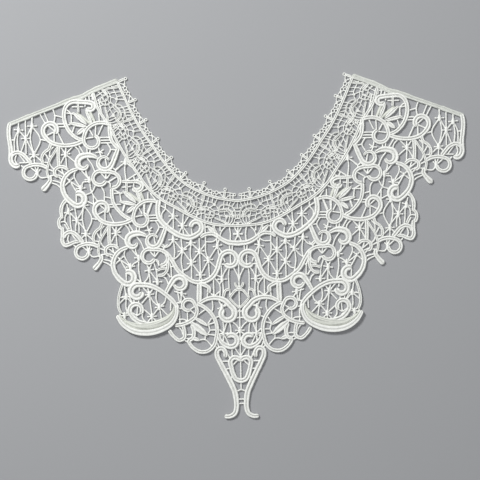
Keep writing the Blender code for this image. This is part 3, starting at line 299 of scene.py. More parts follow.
WING_LEAVES = [
    Leaf("petal_a", 3.4, (-127.6, 70.8), (-116.4, 60.8)),
    Leaf("petal_a_shade", 2.8, (-124.6, 70.4), (-113, 61), PAD),
    Leaf("petal_b", 2.7, (-117.4, 72.8), (-112.2, 60.8)),
    Leaf("petal_b_shade", 2.6, (-115, 73.6), (-109.7, 61.2), PAD),
    Leaf("petal_c", 3.2, (-130.6, 62.6), (-116, 59.2)),
    Leaf("petal_d", 3.8, (-124.6, 53.2), (-118.2, 58.4)),
]
WING_STARS = [
    Star(-159.4, 60.6, 0, [[(-160.9, 50.5), (-158.3, 38.3)], [(-153.2, 50), (-158.3, 38.3)]]),
    Star(-158.3, 38.3, 175, [[(-158, 30.6)], [(-152, 32.4)], [(-162.2, 34.6)]]),
    Star(-133.6, 38, 8, [
        [(-133.2, 44.5)], [(-127, 44.8)], [(-137.4, 44)], [(-132.9, 28)], [(-138.2, 30)],
        [(-123.6, 29.4)]]),
    Star(-156, 23.8, 50, [
        [(-161.6, 28.6)], [(-158, 29.6)], [(-155.2, 29.6)], [(-153.4, 20.2), (-147.2, 20.6)]]),
    Star(-130.7, 17, 40, [[(-134.6, 21)], [(-135.6, 12.8)], [(-122.3, 11.1)], [(-126, 9)]], knot=0.55),
    Star(-122.3, 11.1, 5, [[(-127.2, 20.6), (-125.6, 26.4)]]),
    Star(-115.4, 17.6, 175, [
        [(-117.8, 23.2), (-117.6, 28.6)], [(-123, 27)], [(-112.4, 18)]]),
]
WING_BARS = [
    [(-153.2, 50), (-148.6, 49)],
    [(-172.2, 38.5), (-173.2, 34.2), (-171.8, 31.2)], [(-170, 38.5), (-165.4, 32.4)],
    [(-170, 32), (-160.5, 32.2)], [(-168.6, 30), (-165.6, 27.4)], [(-143, 44), (-145.7, 41), (-146, 36)],
    [(-149.4, 38.6), (-146.6, 33.8)], [(-151.4, 32.2), (-147, 31.8)],
    [(-146.4, 32.8), (-145.2, 29), (-143, 26.6)], [(-147.8, 26.8), (-143.4, 24.8)],
    [(-147.6, 21.2), (-142.6, 21.8)], [(-145, 17.8), (-140.6, 16.8), (-136.8, 15)],
    [(-145, 16), (-140.6, 14), (-136.8, 10.8)], [(-140.4, 26.2), (-134.8, 21.8)],
    [(-137, 27.4), (-135.4, 22)], [(-141.8, 22.6), (-136.4, 20.6)], [(-139.4, 20.4), (-136.2, 17.6)],
    [(-127.2, 45), (-123.2, 40.6), (-122.2, 35.6)], [(-123.6, 45.4), (-118.6, 37.4)],
    [(-117.2, 45.4), (-116.5, 37.4)], [(-114.4, 43.4), (-114.5, 37.4)],
    [(-108, 44), (-107, 39.4), (-105.8, 35.8)], [(-110.2, 38.8), (-107, 39.2), (-103.8, 41.2)],
    [(-107, 39.2), (-104.4, 38.2)], [(-108.6, 50.6), (-98.6, 50.6)],
    [(-108.2, 48.4), (-98.4, 48.4)], [(-108.8, 46.3), (-98, 46.3)],
    [(-101, 46.2), (-98.4, 41.2), (-101, 36)], [(-98.4, 41.2), (-94, 40.6)],
    [(-102.8, 35), (-101.6, 28)], [(-98.2, 28.2), (-94.6, 25.2), (-91.6, 27.4)],
    [(-94.6, 25.2), (-95, 22)], [(-117, 34.8), (-113.2, 29.6), (-110.8, 23.4)],
    [(-126, 6.8), (-125.8, 0.4)], [(-102.2, 18), (-106.2, 22.6)], [(-102.2, 18), (-102.6, 23)],
    [(-102.2, 18), (-98.6, 22.6)], [(-102, 16), (-99.4, 14.6), (-99.2, 11)],
    [(-147.2, 61), (-141.6, 56)], [(-149, 52.6), (-141.6, 56)], [(-142.3, 55.6), (-142.3, 47)],
    [(-139.6, 55.6), (-134.8, 45.6)], [(-115.2, 58), (-111.8, 52)], [(-109.6, 61), (-110, 52)],
    [(-103.6, 61.6), (-107.8, 52.6)], [(-117.6, 50), (-111.4, 51)], [(-126.2, 60.2), (-128, 55)],
]
WING = chart("both wings", WING_CORDS, WING_LEAVES, WING_BARS, WING_STARS)

# %% [markdown]
# ## The upper wing's own threads
# The upper wing has a heavy cord down the collar's side, a second scroll under the shoulder bar
# and a flower stem. Bars tie all of it to the shoulder. These rows could stand in the shared chart
# with a mark on each, but a chart of their own is easier to change.

# %% The upper wing
UPPER_CORDS = [
    Cord("side_cord", 3.4, 4.2, [
        (-176.6, 63.4), (-177.5, 60), (-177.8, 55), (-177.2, 49), (-176.5, 44), (-176.3, 39),
        (-176.5, 34), (-175, 30.8), (-172.4, 29.5), (-169.6, 30.6)]),
    Cord("cord_two", 3, 4.2, [
        (-119.6, 48.4), (-126, 51.4), (-131.7, 58.2), (-134.3, 67), (-132.8, 75), (-128.4, 78.7),
        (-121, 78.8), (-113.6, 78)], Scroll(-113.7, 75.2, -250, 2.9)),
    Cord("flower_stem", 1.9, 1.7, [(-123.2, 79.4), (-122.8, 70)]),
    Cord("junction", 3.4, 3.4, [(-98.6, 61.6), (-98.6, 54), (-97.2, 47.8), (-92, 41.2)]),
]
UPPER_BARS = [
    [(-110.6, 13.4), (-113.8, 8), (-119.2, 5.8)], [(-115.4, 17.6), (-113.8, 8), (-108.2, -0.6)],
    [(-106.8, 12.8), (-104.2, 8.4), (-104, -0.6)], [(-104.2, 4.2), (-98, 2.8)],
    [(-115.4, 16.4), (-120.6, 15.6), (-121.2, 12)],
    [(-178, 50), (-173.4, 50)],
    [(-100.6, 15.6), (-93.4, 20)],
    [(-170, 64.5), (-170, 57.8)], [(-164.6, 66.5), (-164.5, 51)], [(-159.3, 69), (-159.4, 60.6)],
    [(-153.4, 70.6), (-148.8, 62)], [(-150, 71.6), (-146.2, 62.6)],
    [(-143.2, 74.4), (-141.4, 68.6), (-142.2, 62.6)], [(-141.4, 68.6), (-135, 66.8)],
    [(-139.6, 61.8), (-134, 61.8)], [(-139.4, 59.6), (-133, 59.6)],
    [(-133.6, 74), (-129, 69.8), (-128.6, 61.8)], [(-134, 70.6), (-125.6, 69.2)],
    [(-132.4, 60.9), (-129, 61.2)], [(-107.3, 72), (-106.5, 62)],
    [(-117.4, 79), (-117.6, 75)], [(-128, 75), (-119, 75)], [(-120.8, 84.2), (-119.8, 80)],
    [(-117.8, 85.2), (-116.8, 80)], [(-115.2, 86.2), (-114, 80)], [(-112.8, 87), (-111.4, 80)],
    [(-121, 82.4), (-116, 83.2), (-111.4, 83)], [(-107, 80.4), (-104.6, 70), (-102.6, 61.8)],
]
UPPER_STARS = [
    Star(-170, 57.8, 175, [
        [(-164.5, 51)], [(-173.2, 51), (-173.6, 40.5)], [(-171.2, 49), (-170.4, 41)]]),
    Star(-164.5, 51, 0, [[(-159.4, 60.6)], [(-168.2, 41)], [(-164.4, 39)], [(-158.3, 38.3)]]),
]
UPPER_WING = chart("upper wing", UPPER_CORDS, [], UPPER_BARS, UPPER_STARS)

# %% [markdown]
# ## The lower wing's own threads
# The lower wing reaches the collar's outer edge with three scallops, and a curl joins it to the
# neck band. These rows say where the threads lie on the collar, so they aren't moved with the
# shared ones.

# %% The lower wing
LOWER_CORDS = [
    Cord("scallop_a", 3.4, 2.8, [(-133.6, 2.6), (-136.8, -1.2), (-138, -6.4), (-137.2, -12.4)]),
    Cord("scallop_b", 2.6, 3.2, [(-137.6, -10.6), (-139.6, -13.2), (-139.9, -17), (-138.2, -20.6)]),
    Cord("scallop_c", 3, 2.6, [
        (-137.4, -18.6), (-137.1, -25), (-137.4, -30), (-135.4, -33.1), (-131.8, -32.4), (-128.4, -30.9),
        (-124.4, -30.6)], swell=0.6),
    Cord("cord_two_low", 3.2, 3.2, [
        (-83.4, -14.2), (-88.6, -11.2), (-93.4, -6.4), (-96.8, -1), (-98, 5), (-98, 11)]),
    Cord("band_curl", 2.6, 4, [(-90.4, 15.9), (-84, 15.6), (-77.8, 15.4), (-74.4, 13)],
        Scroll(-78.1, 12.3, -168, 3.7)),
    Cord("band_post", 2.2, 2.2, [(-86.5, 16), (-86.3, 6.8)]),
    Cord("lower_loop", 2.6, 2.8, [
        (-55.6, -45.4), (-55.4, -50), (-56.4, -54.8), (-59.6, -57.9), (-63.6, -58)]),
    Cord("lower_bar_b", 2.2, 2.2, [(-64.4, -54.6), (-60.6, -53), (-56, -52.8)]),
]
LOWER_STARS = [
    Star(-87, 31, 177, [[(-87, 35)], [(-82, 31.5)], [(-94.6, 25.3)], [(-79.6, 24.6)]]),
    Star(-70, -54, 10, [
        [(-72, -49)], [(-68, -48.6)], [(-71.4, -60), (-74.6, -64)], [(-69.4, -65)], [(-64, -62.6)]]),
    Star(-63.7, -63.2, 0, []),
    Star(-132.2, -6.6, 22, [
        [(-133.4, -1)], [(-134.8, -10.4), (-135.2, -14.9)], [(-125.8, -13.8)],
        [(-131.2, -9.6), (-130.9, -16), (-130.2, -21.6)]]),
    Star(-125.8, -13.8, 2, [
        [(-126.4, -9.6), (-127.4, -3)], [(-121.4, -6.4), (-120.6, -2.4)],
        [(-126.8, -18), (-126.9, -22.4)], [(-124.4, -18), (-124.2, -24)],
        [(-122.4, -17.8), (-119, -22)]]),
]
LOWER_BARS = [
    [(-78, -46.4), (-82.4, -49), (-84.4, -52.6)],
    [(-139.6, -15.1), (-135.2, -14.9), (-131.6, -20.8)], [(-135.6, -16.6), (-132.8, -21.4)],
    [(-118.4, 1.4), (-111.6, -2)],
    [(-112.6, 6), (-112.4, -2)], [(-101, -2), (-97, -2)], [(-101, -4), (-96, -4)],
    [(-91.6, 6.8), (-97, 10)], [(-97.6, 6.6), (-89.6, 6.8)], [(-91.8, 6.8), (-90.8, -1)],
    [(-95.6, -2), (-91, -2)], [(-88, -2.6), (-89.8, -7.6)], [(-90.3, 11.3), (-82.9, 11.8)],
    [(-87, 30), (-87.6, 25), (-86.7, 16.5)], [(-86, 17), (-81.2, 20), (-77.6, 22.2)],
    [(-80.8, 19.6), (-79.4, 15.6)], [(-79.2, 16.6), (-75, 18.6)], [(-80.8, 14.6), (-80.8, 11.2)],
    [(-95.8, 9.4), (-92.6, 7.2)], [(-75.6, 7.4), (-70.4, 9.6)], [(-68, 6.4), (-63.7, 0.4)],
    [(-73.4, -1.8), (-73.2, -10)], [(-66.6, -0.8), (-70.4, -10.6)], [(-76.6, 6.6), (-73, 0.4)],
    [(-69.8, 7), (-70, 0)], [(-79.4, 9), (-77, 1.4)], [(-66.8, -46.8), (-64.4, -54.6), (-63.7, -66)],
    [(-78, -44.4), (-78.2, -54), (-76.4, -64)], [(-81.4, -59.4), (-76.4, -63.6)],
    [(-61, -58), (-57, -61), (-55.4, -65)], [(-55, -46), (-53.2, -51), (-52.6, -60)],
    [(-56.4, -56), (-53.6, -60)], [(-53.4, -52), (-50.6, -51)], [(-62, -50.4), (-64.2, -46.6)],
]
LOWER_WING = chart("lower wing", LOWER_CORDS, [], LOWER_BARS, LOWER_STARS)

# %% [markdown]
# ## The front panel
# Under the band lies the collar's open middle. Two scrolls and a deep cup frame a net of stars,
# and a cord hangs under the band like a smile. A net could be filled by scattering stars, but each
# bar has to end on a cord, so every star is charted with its bars.

# %% The front panel
FRONT_CORDS = [
    Cord("j_scroll", 3.8, 3.8, [
        (-61.4, 1), (-62.4, -6), (-61.6, -12.6), (-57.6, -18.4), (-51, -24), (-44.4, -27.7),
        (-37.6, -28.9), (-31.8, -26.4)], Scroll(-33.3, -20.4, 272, 3.3), swell=0.8),
    Cord("u_cup", 3.4, 4.4, [
        (-60, -38.6), (-55.8, -41.2), (-52, -46.6), (-47.6, -54.4), (-41.6, -59.8), (-34.6, -63.8),
        (-27, -63.6), (-20.6, -60), (-16.8, -54.2), (-15, -48.2), (-13.2, -43.4)],
        Scroll(-6.9, -47, -292, 4.9)),
    Cord("smile", 2.8, 4.4, [
        (-29.6, -29.4), (-26, -27), (-20, -26.4), (-16.4, -28.2), (-12.6, -31), (-7.6, -33.4),
        (0, -34.3)]),
    Cord("collar_stem", 2.2, 2.2, [(-19.2, -19.6), (-18.2, -23.6), (-14.8, -29.4)]),
    Cord("under_hook", 3.4, 3.4, [(-31.6, -64.6), (-27.4, -66.2), (-23.6, -68.8), (-24, -73)]),
    Cord("low_curl", 3, 2.8, [(-57.6, -72.4), (-53.6, -65.4), (-50.2, -60.9)],
        Scroll(-46.5, -64.8, -305, 4.2), swell=1.9),
    Cord("stem", 4.4, 4.4, [(-31, -64), (-31.2, -72), (-31.6, -80.4)]),
]
FRONT_LEAVES = [Leaf("centre_leaf", 3.4, (-24.2, -20), (-17.4, -26.6))]
FRONT_STARS = [
    Star(-50.3, -12, 0, [
        [(-56.4, -6), (-61, -3.2)], [(-49.8, -5)], [(-55.8, -19)], [(-50.4, -24)], [(-43.3, -19.8)]]),
    Star(-43.3, -19.8, 0, [
        [(-42.4, -9)], [(-38.4, -12.6)], [(-46.2, -25.6)], [(-42.2, -28)], [(-37.6, -28.4)]]),
    Star(0, -27, 5, [[(-3.4, -20.4)], [(0, -20)], [(-2.8, -33)]]),
    Star(-16.3, -36, 12, [
        [(-17, -29.4)], [(-14.6, -30)], [(-15.2, -44)], [(-12.2, -42)], [(-23.6, -47)]]),
    Star(-23.6, -47, 8, [
        [(-25.6, -40), (-25.5, -34), (-25.8, -16)], [(-30.3, -40)], [(-30, -58.6)], [(-22.9, -62)],
        [(-17.2, -53.6)]]),
    Star(-30.3, -40, 5, [
        [(-25.5, -34)], [(-30.4, -29.6)], [(-37, -33.2)], [(-30, -58.6)], [(-36.8, -48.8)]]),
    Star(-37, -33.2, 0, [[(-37.2, -29)], [(-37.6, -42), (-36.8, -48.8)], [(-43.8, -39)]]),
    Star(-36.8, -48.8, 15, [
        [(-43.8, -39)], [(-40.6, -53.6), (-44.4, -54.6)], [(-37, -61.6)], [(-30, -58.6)]]),
    Star(-43.8, -39, 15, [
        [(-44.8, -28)], [(-50.8, -30.4)], [(-48, -44), (-52, -46.6)], [(-44.8, -48), (-43.4, -57)]]),
    Star(-50.8, -30.4, 3, [[(-51, -24.6)], [(-54, -35), (-58.6, -37)], [(-49.8, -40), (-50.6, -46)]]),
    Star(-30, -58.6, 0, [[(-31.4, -64)], [(-28.4, -64)]]),
    Star(-13.2, -62.2, 0, [
        [(-13.8, -50)], [(-11.4, -57), (-8.6, -53)], [(-12.4, -69), (-13, -77)], [(-15.2, -66.4)]]),
    Star(-45, -72.6, 170, [[(-46, -80)], [(-41.6, -78.4)], [(-50.8, -71)], [(-45.2, -67.8)]]),
]
FRONT_BARS = [
    [(-59, -15), (-59.2, -10), (-56.4, -6), (-56.6, -1)], [(-36.4, -22), (-35.9, -27.6)],
    [(-29, -21.4), (-25.7, -21.2), (-23.6, -21)], [(-29.2, -24.6), (-26, -27)],
    [(-14, -19), (-13.9, -24.6)], [(-9, -20.4), (-13, -25), (-14.4, -29.6)],
    [(-7, -20), (-6, -26), (-6.2, -32.6)], [(-7, -35), (-6.6, -40)], [(-4.6, -35.2), (-4.8, -40)],
    [(-25.4, -32.6), (-20, -32.6), (-16.6, -30.4)], [(-57, -36), (-61.4, -31.6)],
    [(-6.4, -42), (-6.2, -51)], [(-11.8, -45.4), (-10.6, -48.8)], [(-15, -50), (-11, -50.6)],
    [(-19.2, -61), (-15.2, -66.4), (-15.2, -77)], [(-19.9, -61), (-19.8, -77)],
    [(-23.6, -71.6), (-19.8, -74.6), (-15.2, -71.8)], [(-24.6, -72.6), (-25.4, -78)],
    [(-17.4, -59), (-14, -60.4)], [(-7.2, -52.6), (-8, -58), (-7.8, -70)],
    [(-4.6, -52.4), (-0.8, -60), (0, -64)], [(0, -50), (0, -70)],
    [(-51, -65.6), (-48.4, -71), (-46.8, -80)],
]
FRONT_PANEL = chart("front panel", FRONT_CORDS, FRONT_LEAVES, FRONT_BARS, FRONT_STARS)

# %% [markdown]
# ## The lobe and its crescent
# A round lobe fills each lower corner: a dome of cord that ends in a scroll, a ring in it, and
# stars between them. Below it hangs a crescent, the heaviest stitching in the collar, with satin
# laid over a pad. The crescent needs only its route, because its own function shapes it.

# %% The lobe
LOBE_CORDS = [
    Cord("dome", 3.2, 5, [
        (-48.4, -88), (-48.9, -83), (-51.8, -78.6), (-57, -73.6), (-63.5, -68.8), (-70.5, -65.8),
        (-77.4, -65.2)], Scroll(-79.8, -71, 300, 3.6)),
    Cord("lobe_ring", 3.2, 3.2, [(-66, -96), (-73.4, -95.6), (-80.6, -93.2), (-85, -88.4)],
        Scroll(-80.7, -84.9, -262, 4.4), swell=0.9),
    Cord("lobe_edge", 2.4, 2.4, [
        (-91, -64), (-93.2, -70), (-94.6, -77), (-94.4, -83), (-92.6, -87.4)]),
]
LOBE_STARS = [
    Star(-70.4, -73, 5, [
        [(-76.4, -66)], [(-71.8, -66)], [(-66.8, -67.4)], [(-76.4, -79.8)],
        [(-69.2, -84), (-68.6, -90.2)], [(-67, -79), (-62.6, -82.8)]]),
    Star(-62.6, -82.8, 10, [
        [(-65, -77), (-64.4, -69)], [(-58.6, -79.4), (-57.2, -74.8)], [(-68.6, -90.2)], [(-61, -93.4)],
        [(-55.8, -90)]]),
    Star(-68.6, -90.2, 3, [[(-74.6, -84.6)], [(-68.6, -96)], [(-72.4, -95)], [(-64.4, -95)]]),
    Star(-88.4, -74.4, 0, [
        [(-90, -64.4)], [(-94.4, -80)], [(-84, -79.6)], [(-88.8, -83), (-88, -86.4), (-90, -89)],
        [(-94.4, -75)], [(-84.6, -74.4)]]),
    Star(-90, -89, 5, [[(-88.6, -95.6)], [(-94.6, -89.4)]]),
]
LOBE_BARS = [
    [(-92.8, -86.2), (-90, -88.8), (-90.2, -94.6)], [(-93.4, -87), (-93.8, -90.4)],
    [(-76, -87), (-76, -91), (-73, -95)], [(-80.4, -89.4), (-84.4, -86.6)],
    [(-80.4, -89.4), (-79.6, -81)], [(-80.4, -89.4), (-76, -86.6)], [(-81.4, -90), (-77.6, -94)],
    [(-53.6, -77.6), (-54, -86)], [(-78.2, -66), (-78, -70)], [(-82.4, -74.6), (-82.4, -80)],
    [(-78.8, -74.4), (-78.8, -80)], [(-87, -64), (-86, -74), (-83.6, -79.6)], [(-88, -87), (-85.4, -88)],
]
CRESCENT_ROUTE = [
    (-96, -88.6), (-91, -95), (-83, -99.6), (-73.5, -100.8), (-63, -99), (-53.6, -94.2),
    (-49.8, -87.8), (-49.6, -82)]
LOBE = chart("lobe", LOBE_CORDS, [], LOBE_BARS, LOBE_STARS)

# %% [markdown]
# ## The bow
# Between the lobe and the pendant, cords make a bow with two loops, and fat satin leaves lie in
# its knot. The long cord of the bow is one route with many places. Two routes that meet would be
# shorter, but a join would show at the tip, where the cord turns back.

# %% The bow
BOW_CORDS = [
    Cord("s_cord", 3.2, 3.2, [
        (-51, -97.6), (-45.6, -97), (-39.4, -94.8), (-34.8, -91), (-33.2, -86), (-34.8, -81.4)],
        Scroll(-40.3, -82.2, 290, 3.8)),
    Cord("arch", 2.8, 4.8, [(-31.6, -80.6), (-25, -77.3), (-18, -76.6), (-11.4, -78.8), (-6.8, -83.4)],
        Scroll(-9.8, -89.2, -300, 4.6), swell=0.9),
    Cord("bow", 3.2, 3.4, [
        (-33.6, -80.6), (-28, -83.4), (-22.8, -88), (-19, -94.6), (-17.8, -101), (-18.6, -107.6),
        (-20.6, -113.8), (-25.6, -118.1), (-32, -118.4), (-37.6, -114.6), (-40, -110), (-37, -107.6),
        (-36, -103), (-37.8, -97)]),
    Cord("left_loop", 3.1, 3.1, [
        (-55.6, -100.8), (-52, -106), (-47.6, -109.2), (-43.8, -107.4), (-43.4, -102.4), (-44.6, -97)]),
]
BOW_LEAVES = [
    Leaf("big_leaf", 5.4, (-38.8, -95), (-25.4, -106)),
    Leaf("small_leaf", 3.4, (-35.8, -91.4), (-24.8, -98.4)),
    Leaf("foot_leaf", 3.2, (-38.4, -107.2), (-31.4, -109.6)),
]
BOW_STARS = [
    Star(-13.8, -84, 20, [[(-16.6, -77.8)], [(-9.6, -80.8)]]),
    Star(-13, -104.6, 5, [
        [(-12.8, -99), (-13.4, -94)], [(-9.8, -95)], [(-18, -99.6)], [(-13.2, -112)],
        [(-8.6, -113.6)]], knot=0.7),
]
BOW_BARS = [
    [(-38.6, -85.4), (-34.6, -82.6)], [(-38.6, -85.8), (-34, -89.8)], [(-40.8, -86), (-40.8, -95)],
    [(-32.6, -89.6), (-26, -85)], [(-25, -96.8), (-22, -92.4)], [(-25, -97.4), (-19.6, -96)],
    [(-24.6, -97.8), (-23.6, -101.8), (-25.4, -105)], [(-23.6, -101.8), (-18, -101.6)],
    [(-25.4, -105), (-18.6, -106)], [(-27.2, -105.6), (-27.4, -109.4)],
    [(-32, -109.3), (-27.4, -109.2), (-21.6, -115)], [(-43.8, -105), (-36.6, -105)],
    [(-43.6, -107), (-38.6, -109)], [(-44, -109), (-40.6, -111)],
    [(-48.4, -98), (-45.6, -101.8), (-44.8, -105)], [(-48, -92.8), (-43, -93.2), (-40.6, -95)],
    [(-47, -86), (-46.8, -97)], [(-49.4, -80), (-46, -80)], [(-49, -84.4), (-45, -84.4)],
    [(-21.6, -77), (-20.8, -83), (-21.8, -88)], [(-20, -92.6), (-14.8, -90.6)],
    [(-8.6, -94), (-7.2, -100), (-7, -104.6)], [(-18, -104.8), (-9.4, -104.8)],
    [(-17.6, -109), (-14.6, -106)],
]
BOW = chart("bow", BOW_CORDS, BOW_LEAVES, BOW_BARS, BOW_STARS)

# %% [markdown]
# ## The pendant
# The tip hangs from the middle: two scrolls, a heart, and a tail whose two cords part at the end.
# Only the drawn half is charted. A cord that ends on the axis is joined to its own mirror image, so
# that the stitching runs on across the middle with no seam.

# %% The pendant
PENDANT_CORDS = [
    Cord("low_scroll", 2.4, 4.2, [(-17, -104.6), (-16.2, -108.4), (-13.4, -112.4), (-8.6, -114.9)],
        Scroll(-6.9, -110, 252, 4.2), swell=1.2),
    Cord("heart", 4, 4, [
        (0.6, -126.2), (-2.4, -123.9), (-5.8, -123.7), (-8, -126.4), (-7.4, -131), (-6, -136.4),
        (-3.8, -140.4), (0, -142)]),
    Cord("tail", 3.3, 3.5, [
        (-11.9, -123.6), (-11.8, -119), (-14.4, -116.2), (-17.8, -117.4), (-18.4, -121.4),
        (-15.8, -127.6), (-12.9, -133.4), (-10.1, -139), (-7.3, -144.8), (-5, -150.6), (-4, -157),
        (-4, -163), (-5.4, -167.2), (-9, -169.4), (-13.6, -169.4)], swell=1.2),
    Cord("horns", 2, 2, [(-3.3, -64.6), (-2.5, -67.4), (0, -69.2)]),
    Cord("lambda", 2.4, 2.2, [(0, -70.2), (-2.8, -71), (-5.5, -73.9), (-8, -77.2)]),
    Cord("vee", 1.9, 1.9, [(-7.6, -77), (-4, -81.2), (0, -84.8)]),
    Cord("tip_arm", 2.4, 2.4, [(-7.4, -70), (-10.6, -71), (-12.8, -76.4)]),
]
PENDANT_STARS = [
    Star(0, -102.4, 0, [[(0, -91)], [(-3, -98), (-6.6, -95)], [(-3.2, -105.6)], [(0, -110)]]),
]
PENDANT_BARS = [
    [(0, -70), (0, -85)], [(0, -85), (0, -91)], [(-4.6, -87.4), (0, -87.4)], [(-4.6, -92.4), (0, -92.4)],
    [(-7.4, -70), (-7.2, -76)], [(0, -111.6), (0, -126)], [(-4.8, -115.4), (0, -122.6)],
    [(0, -126), (0, -141.6)], [(-2.6, -126), (-6, -129.4)], [(-6.6, -115.6), (-6.4, -123)],
    [(-10.6, -119), (-8.4, -124)], [(-14.4, -126.4), (-8.6, -126.4)], [(-12.4, -132.4), (-8, -132.2)],
    [(-9.4, -138.6), (-5.4, -139.4)], [(0, -142), (0, -148.6)], [(0, -148.6), (-5, -150.6)],
    [(-4, -156.2), (0, -156.2)], [(-4, -159.6), (0, -159.6)], [(-20, -113.6), (-17, -117)],
    [(-18.6, -110), (-16.4, -116)], [(0, -109.8), (-3.4, -109.8)], [(-0.4, -112), (-3.6, -111.4)],
]
PENDANT = chart("pendant", PENDANT_CORDS, [], PENDANT_BARS, PENDANT_STARS)

# %% [markdown]
# ## The shoulder and the neck
# A firm roll of satin closes the collar at each shoulder, where it is sewn to the garment. The
# neck band lies between two lines, the neck's and the band's lower edge, and a row of pegs stands
# out from the neck line into the opening. Two lines leave the band's width free to change.

# %% The shoulder and the neck
SHOULDER_BAR = Cord("shoulder_bar", 3.4, 4.3, [
    (-178.6, 61.8), (-160, 68.9), (-140, 76.3), (-129, 80.6), (-120, 82.9), (-112, 87.1), (-91.5, 95.1)])
NECK_LINE = [
    (0, -0.6), (-13.6, 1.6), (-27, 6.2), (-40.2, 13.5), (-49, 21.7), (-57.7, 32.6), (-66.3, 45.6),
    (-74.6, 58), (-81.4, 71), (-86.8, 83.3), (-91.6, 94.4)]
BAND_EDGE = [
    (0, -20.6), (-19.3, -18.9), (-33.5, -13.6), (-48.9, -5), (-59.4, 1.2), (-69.9, 10.8),
    (-78, 22.5), (-86.1, 34.6), (-93.5, 48), (-98.6, 59), (-103.1, 65.9), (-107.4, 73),
    (-110.6, 83.7), (-111.6, 87.4)]
PEGS = [
    (-9.4, 8.1), (-25.7, 13.5), (-40, 21.6), (-51, 33.9), (-61.2, 48.8), (-70.3, 63.8),
    (-78.4, 79.6), (-85.6, 96.3)]
print("pegs on the drawn half:", len(PEGS))

# %% [markdown]
# ## From a chart's row to a line
# A stitcher's chart gives a few places that the cord passes. A smooth curve through them does the
# rest. A Bezier curve object could do it too, but its handles would have to be set by hand, and
# this rule needs none: a centripetal Catmull-Rom curve passes every place and never loops back.

# %% A smooth line through a few places
CORD_STEP = 0.7  # between two sections of a cord, in millimetres
BAR_STEP = 0.5
FINE_STEP = 0.35


def between(a, b, start, end, t):
    """The place at t on the way from a, at start, to b, at end."""
    return ((end - t) * a + (t - start) * b) / (end - start)


def smooth_line(places, step=CORD_STEP):
    """The curve through the places, with a point about every step."""
    p = np.array(places, dtype=float)
    ends = np.vstack([2 * p[0] - p[1], p, 2 * p[-1] - p[-2]])
    line = []
    for a, b, c, d in zip(ends, ends[1:], ends[2:], ends[3:]):
        spans = [max(np.linalg.norm(v), 1e-6) ** 0.5 for v in (b - a, c - b, d - c)]
        t0, t1, t2, t3 = np.cumsum([0.0] + spans)
        t = np.linspace(t1, t2, max(2, round(np.linalg.norm(c - b) / step) + 1))[:-1, None]
        bc = between(b, c, t1, t2, t)
        abc = between(between(a, b, t0, t1, t), bc, t0, t2, t)
        bcd = between(bc, between(c, d, t2, t3, t), t1, t3, t)
        line.append(between(abc, bcd, t1, t2, t))
    return np.vstack(line + [p[-1:]])


print("a straight bar of 10 mm has", len(smooth_line([(0, 0), (10, 0)], BAR_STEP)), "points")

# %% [markdown]
# ## Scrolls
# Many cords end in a curl round an eye. Its places could be charted like the rest, but some nine of
# them for each curl would fill the charts. A turn and a last radius say the same. A tight eye is
# reached late, so that the curl stays open, and a wide one early, so that it closes to a ring.

# %% A cord's end, curled round an eye
DEGREES_TO_A_PLACE = 30.0
WIDEST_TIGHT_EYE = 3.0


def scroll_places(start, scroll):
    """Places from start round the scroll's eye."""
    from_eye = np.array(start) - (scroll.eye_x, scroll.eye_y)
    first_angle = math.atan2(from_eye[1], from_eye[0])
    count = max(3, round(abs(scroll.turn_degrees) / DEGREES_TO_A_PLACE))
    f = np.arange(1, count + 1) / count
    shrink = 1 - f ** 3 if scroll.end_radius <= WIDEST_TIGHT_EYE else (1 - f) ** 2
    radius = scroll.end_radius + (np.linalg.norm(from_eye) - scroll.end_radius) * shrink
    angle = first_angle + math.radians(scroll.turn_degrees) * f
    round_eye = np.stack([radius * np.cos(angle), radius * np.sin(angle)], axis=1)
    return [tuple(place) for place in round_eye + (scroll.eye_x, scroll.eye_y)]


# %% [markdown]
# ## Measuring a line
# Thread is laid by length: so many stitches to the centimetre, so many turns of a wrapped bar. The
# helpers give a line's direction, its length so far at each point, and what lies between points.

# %% Direction and length
def normals_of(line):
    """The unit normal at each point of a line, on its left."""
    along = np.gradient(line, axis=0)
    along /= np.maximum(np.linalg.norm(along, axis=1), 1e-9)[:, None]
    return np.stack([-along[:, 1], along[:, 0]], axis=1)


def reach_along(line):
    """How far along the line each of its points is."""
    return np.concatenate([[0], np.cumsum(np.linalg.norm(np.diff(line, axis=0), axis=1))])


def read_off(at, known, places):
    """The places that belong to at, where each known number has its own place."""
    return np.stack([np.interp(at, known, places[:, k]) for k in (0, 1)], axis=1)


print("the shoulder bar is", round(reach_along(smooth_line(SHOULDER_BAR.route))[-1]), "mm long")

# %% [markdown]
# ## What a cord looks like when it is cut
# A wide cord is two rolls of satin stitch side by side, with a groove between them. A leaf has a
# shallower groove, its vein. Padding makes one plain dome. Each section below is a ring of points,
# from the right foot over the top to the left foot and back underneath, where the lace lies flat.
# Blender could bevel a curve with such a profile. Laying the rings by hand lets width and height
# change along the cord, and it gives the stitches their map.

# %% Sections of satin
OVER_THE_TOP = np.array([-1, -0.94, -0.8, -0.6, -0.38, -0.16, 0, 0.16, 0.38, 0.6, 0.8, 0.94, 1])
UNDERNEATH = np.array([[0.86, 0.0], [0.0, 0.0], [-0.86, 0.0]])
ROLL_MIDDLE = 0.53
ROLL_HALF = 0.5
ROLL_FOOT = 0.36
DOME_FOOT = 0.3


def section_ring(lowest, from_top, foot):
    """A ring of points. from_top is 0 where the thread is highest and 1 where it is lowest."""
    up = lowest + (1 - lowest) * np.sqrt(np.clip(1 - from_top ** 2, 0, 1))
    up[[0, -1]] = foot
    return np.vstack([np.stack([OVER_THE_TOP, up], axis=1), UNDERNEATH])


def two_rolls(groove):
    """A section of two rolls. groove is how high its bottom is, as a share of the top."""
    return section_ring(groove, (np.abs(OVER_THE_TOP) - ROLL_MIDDLE) / ROLL_HALF, ROLL_FOOT)


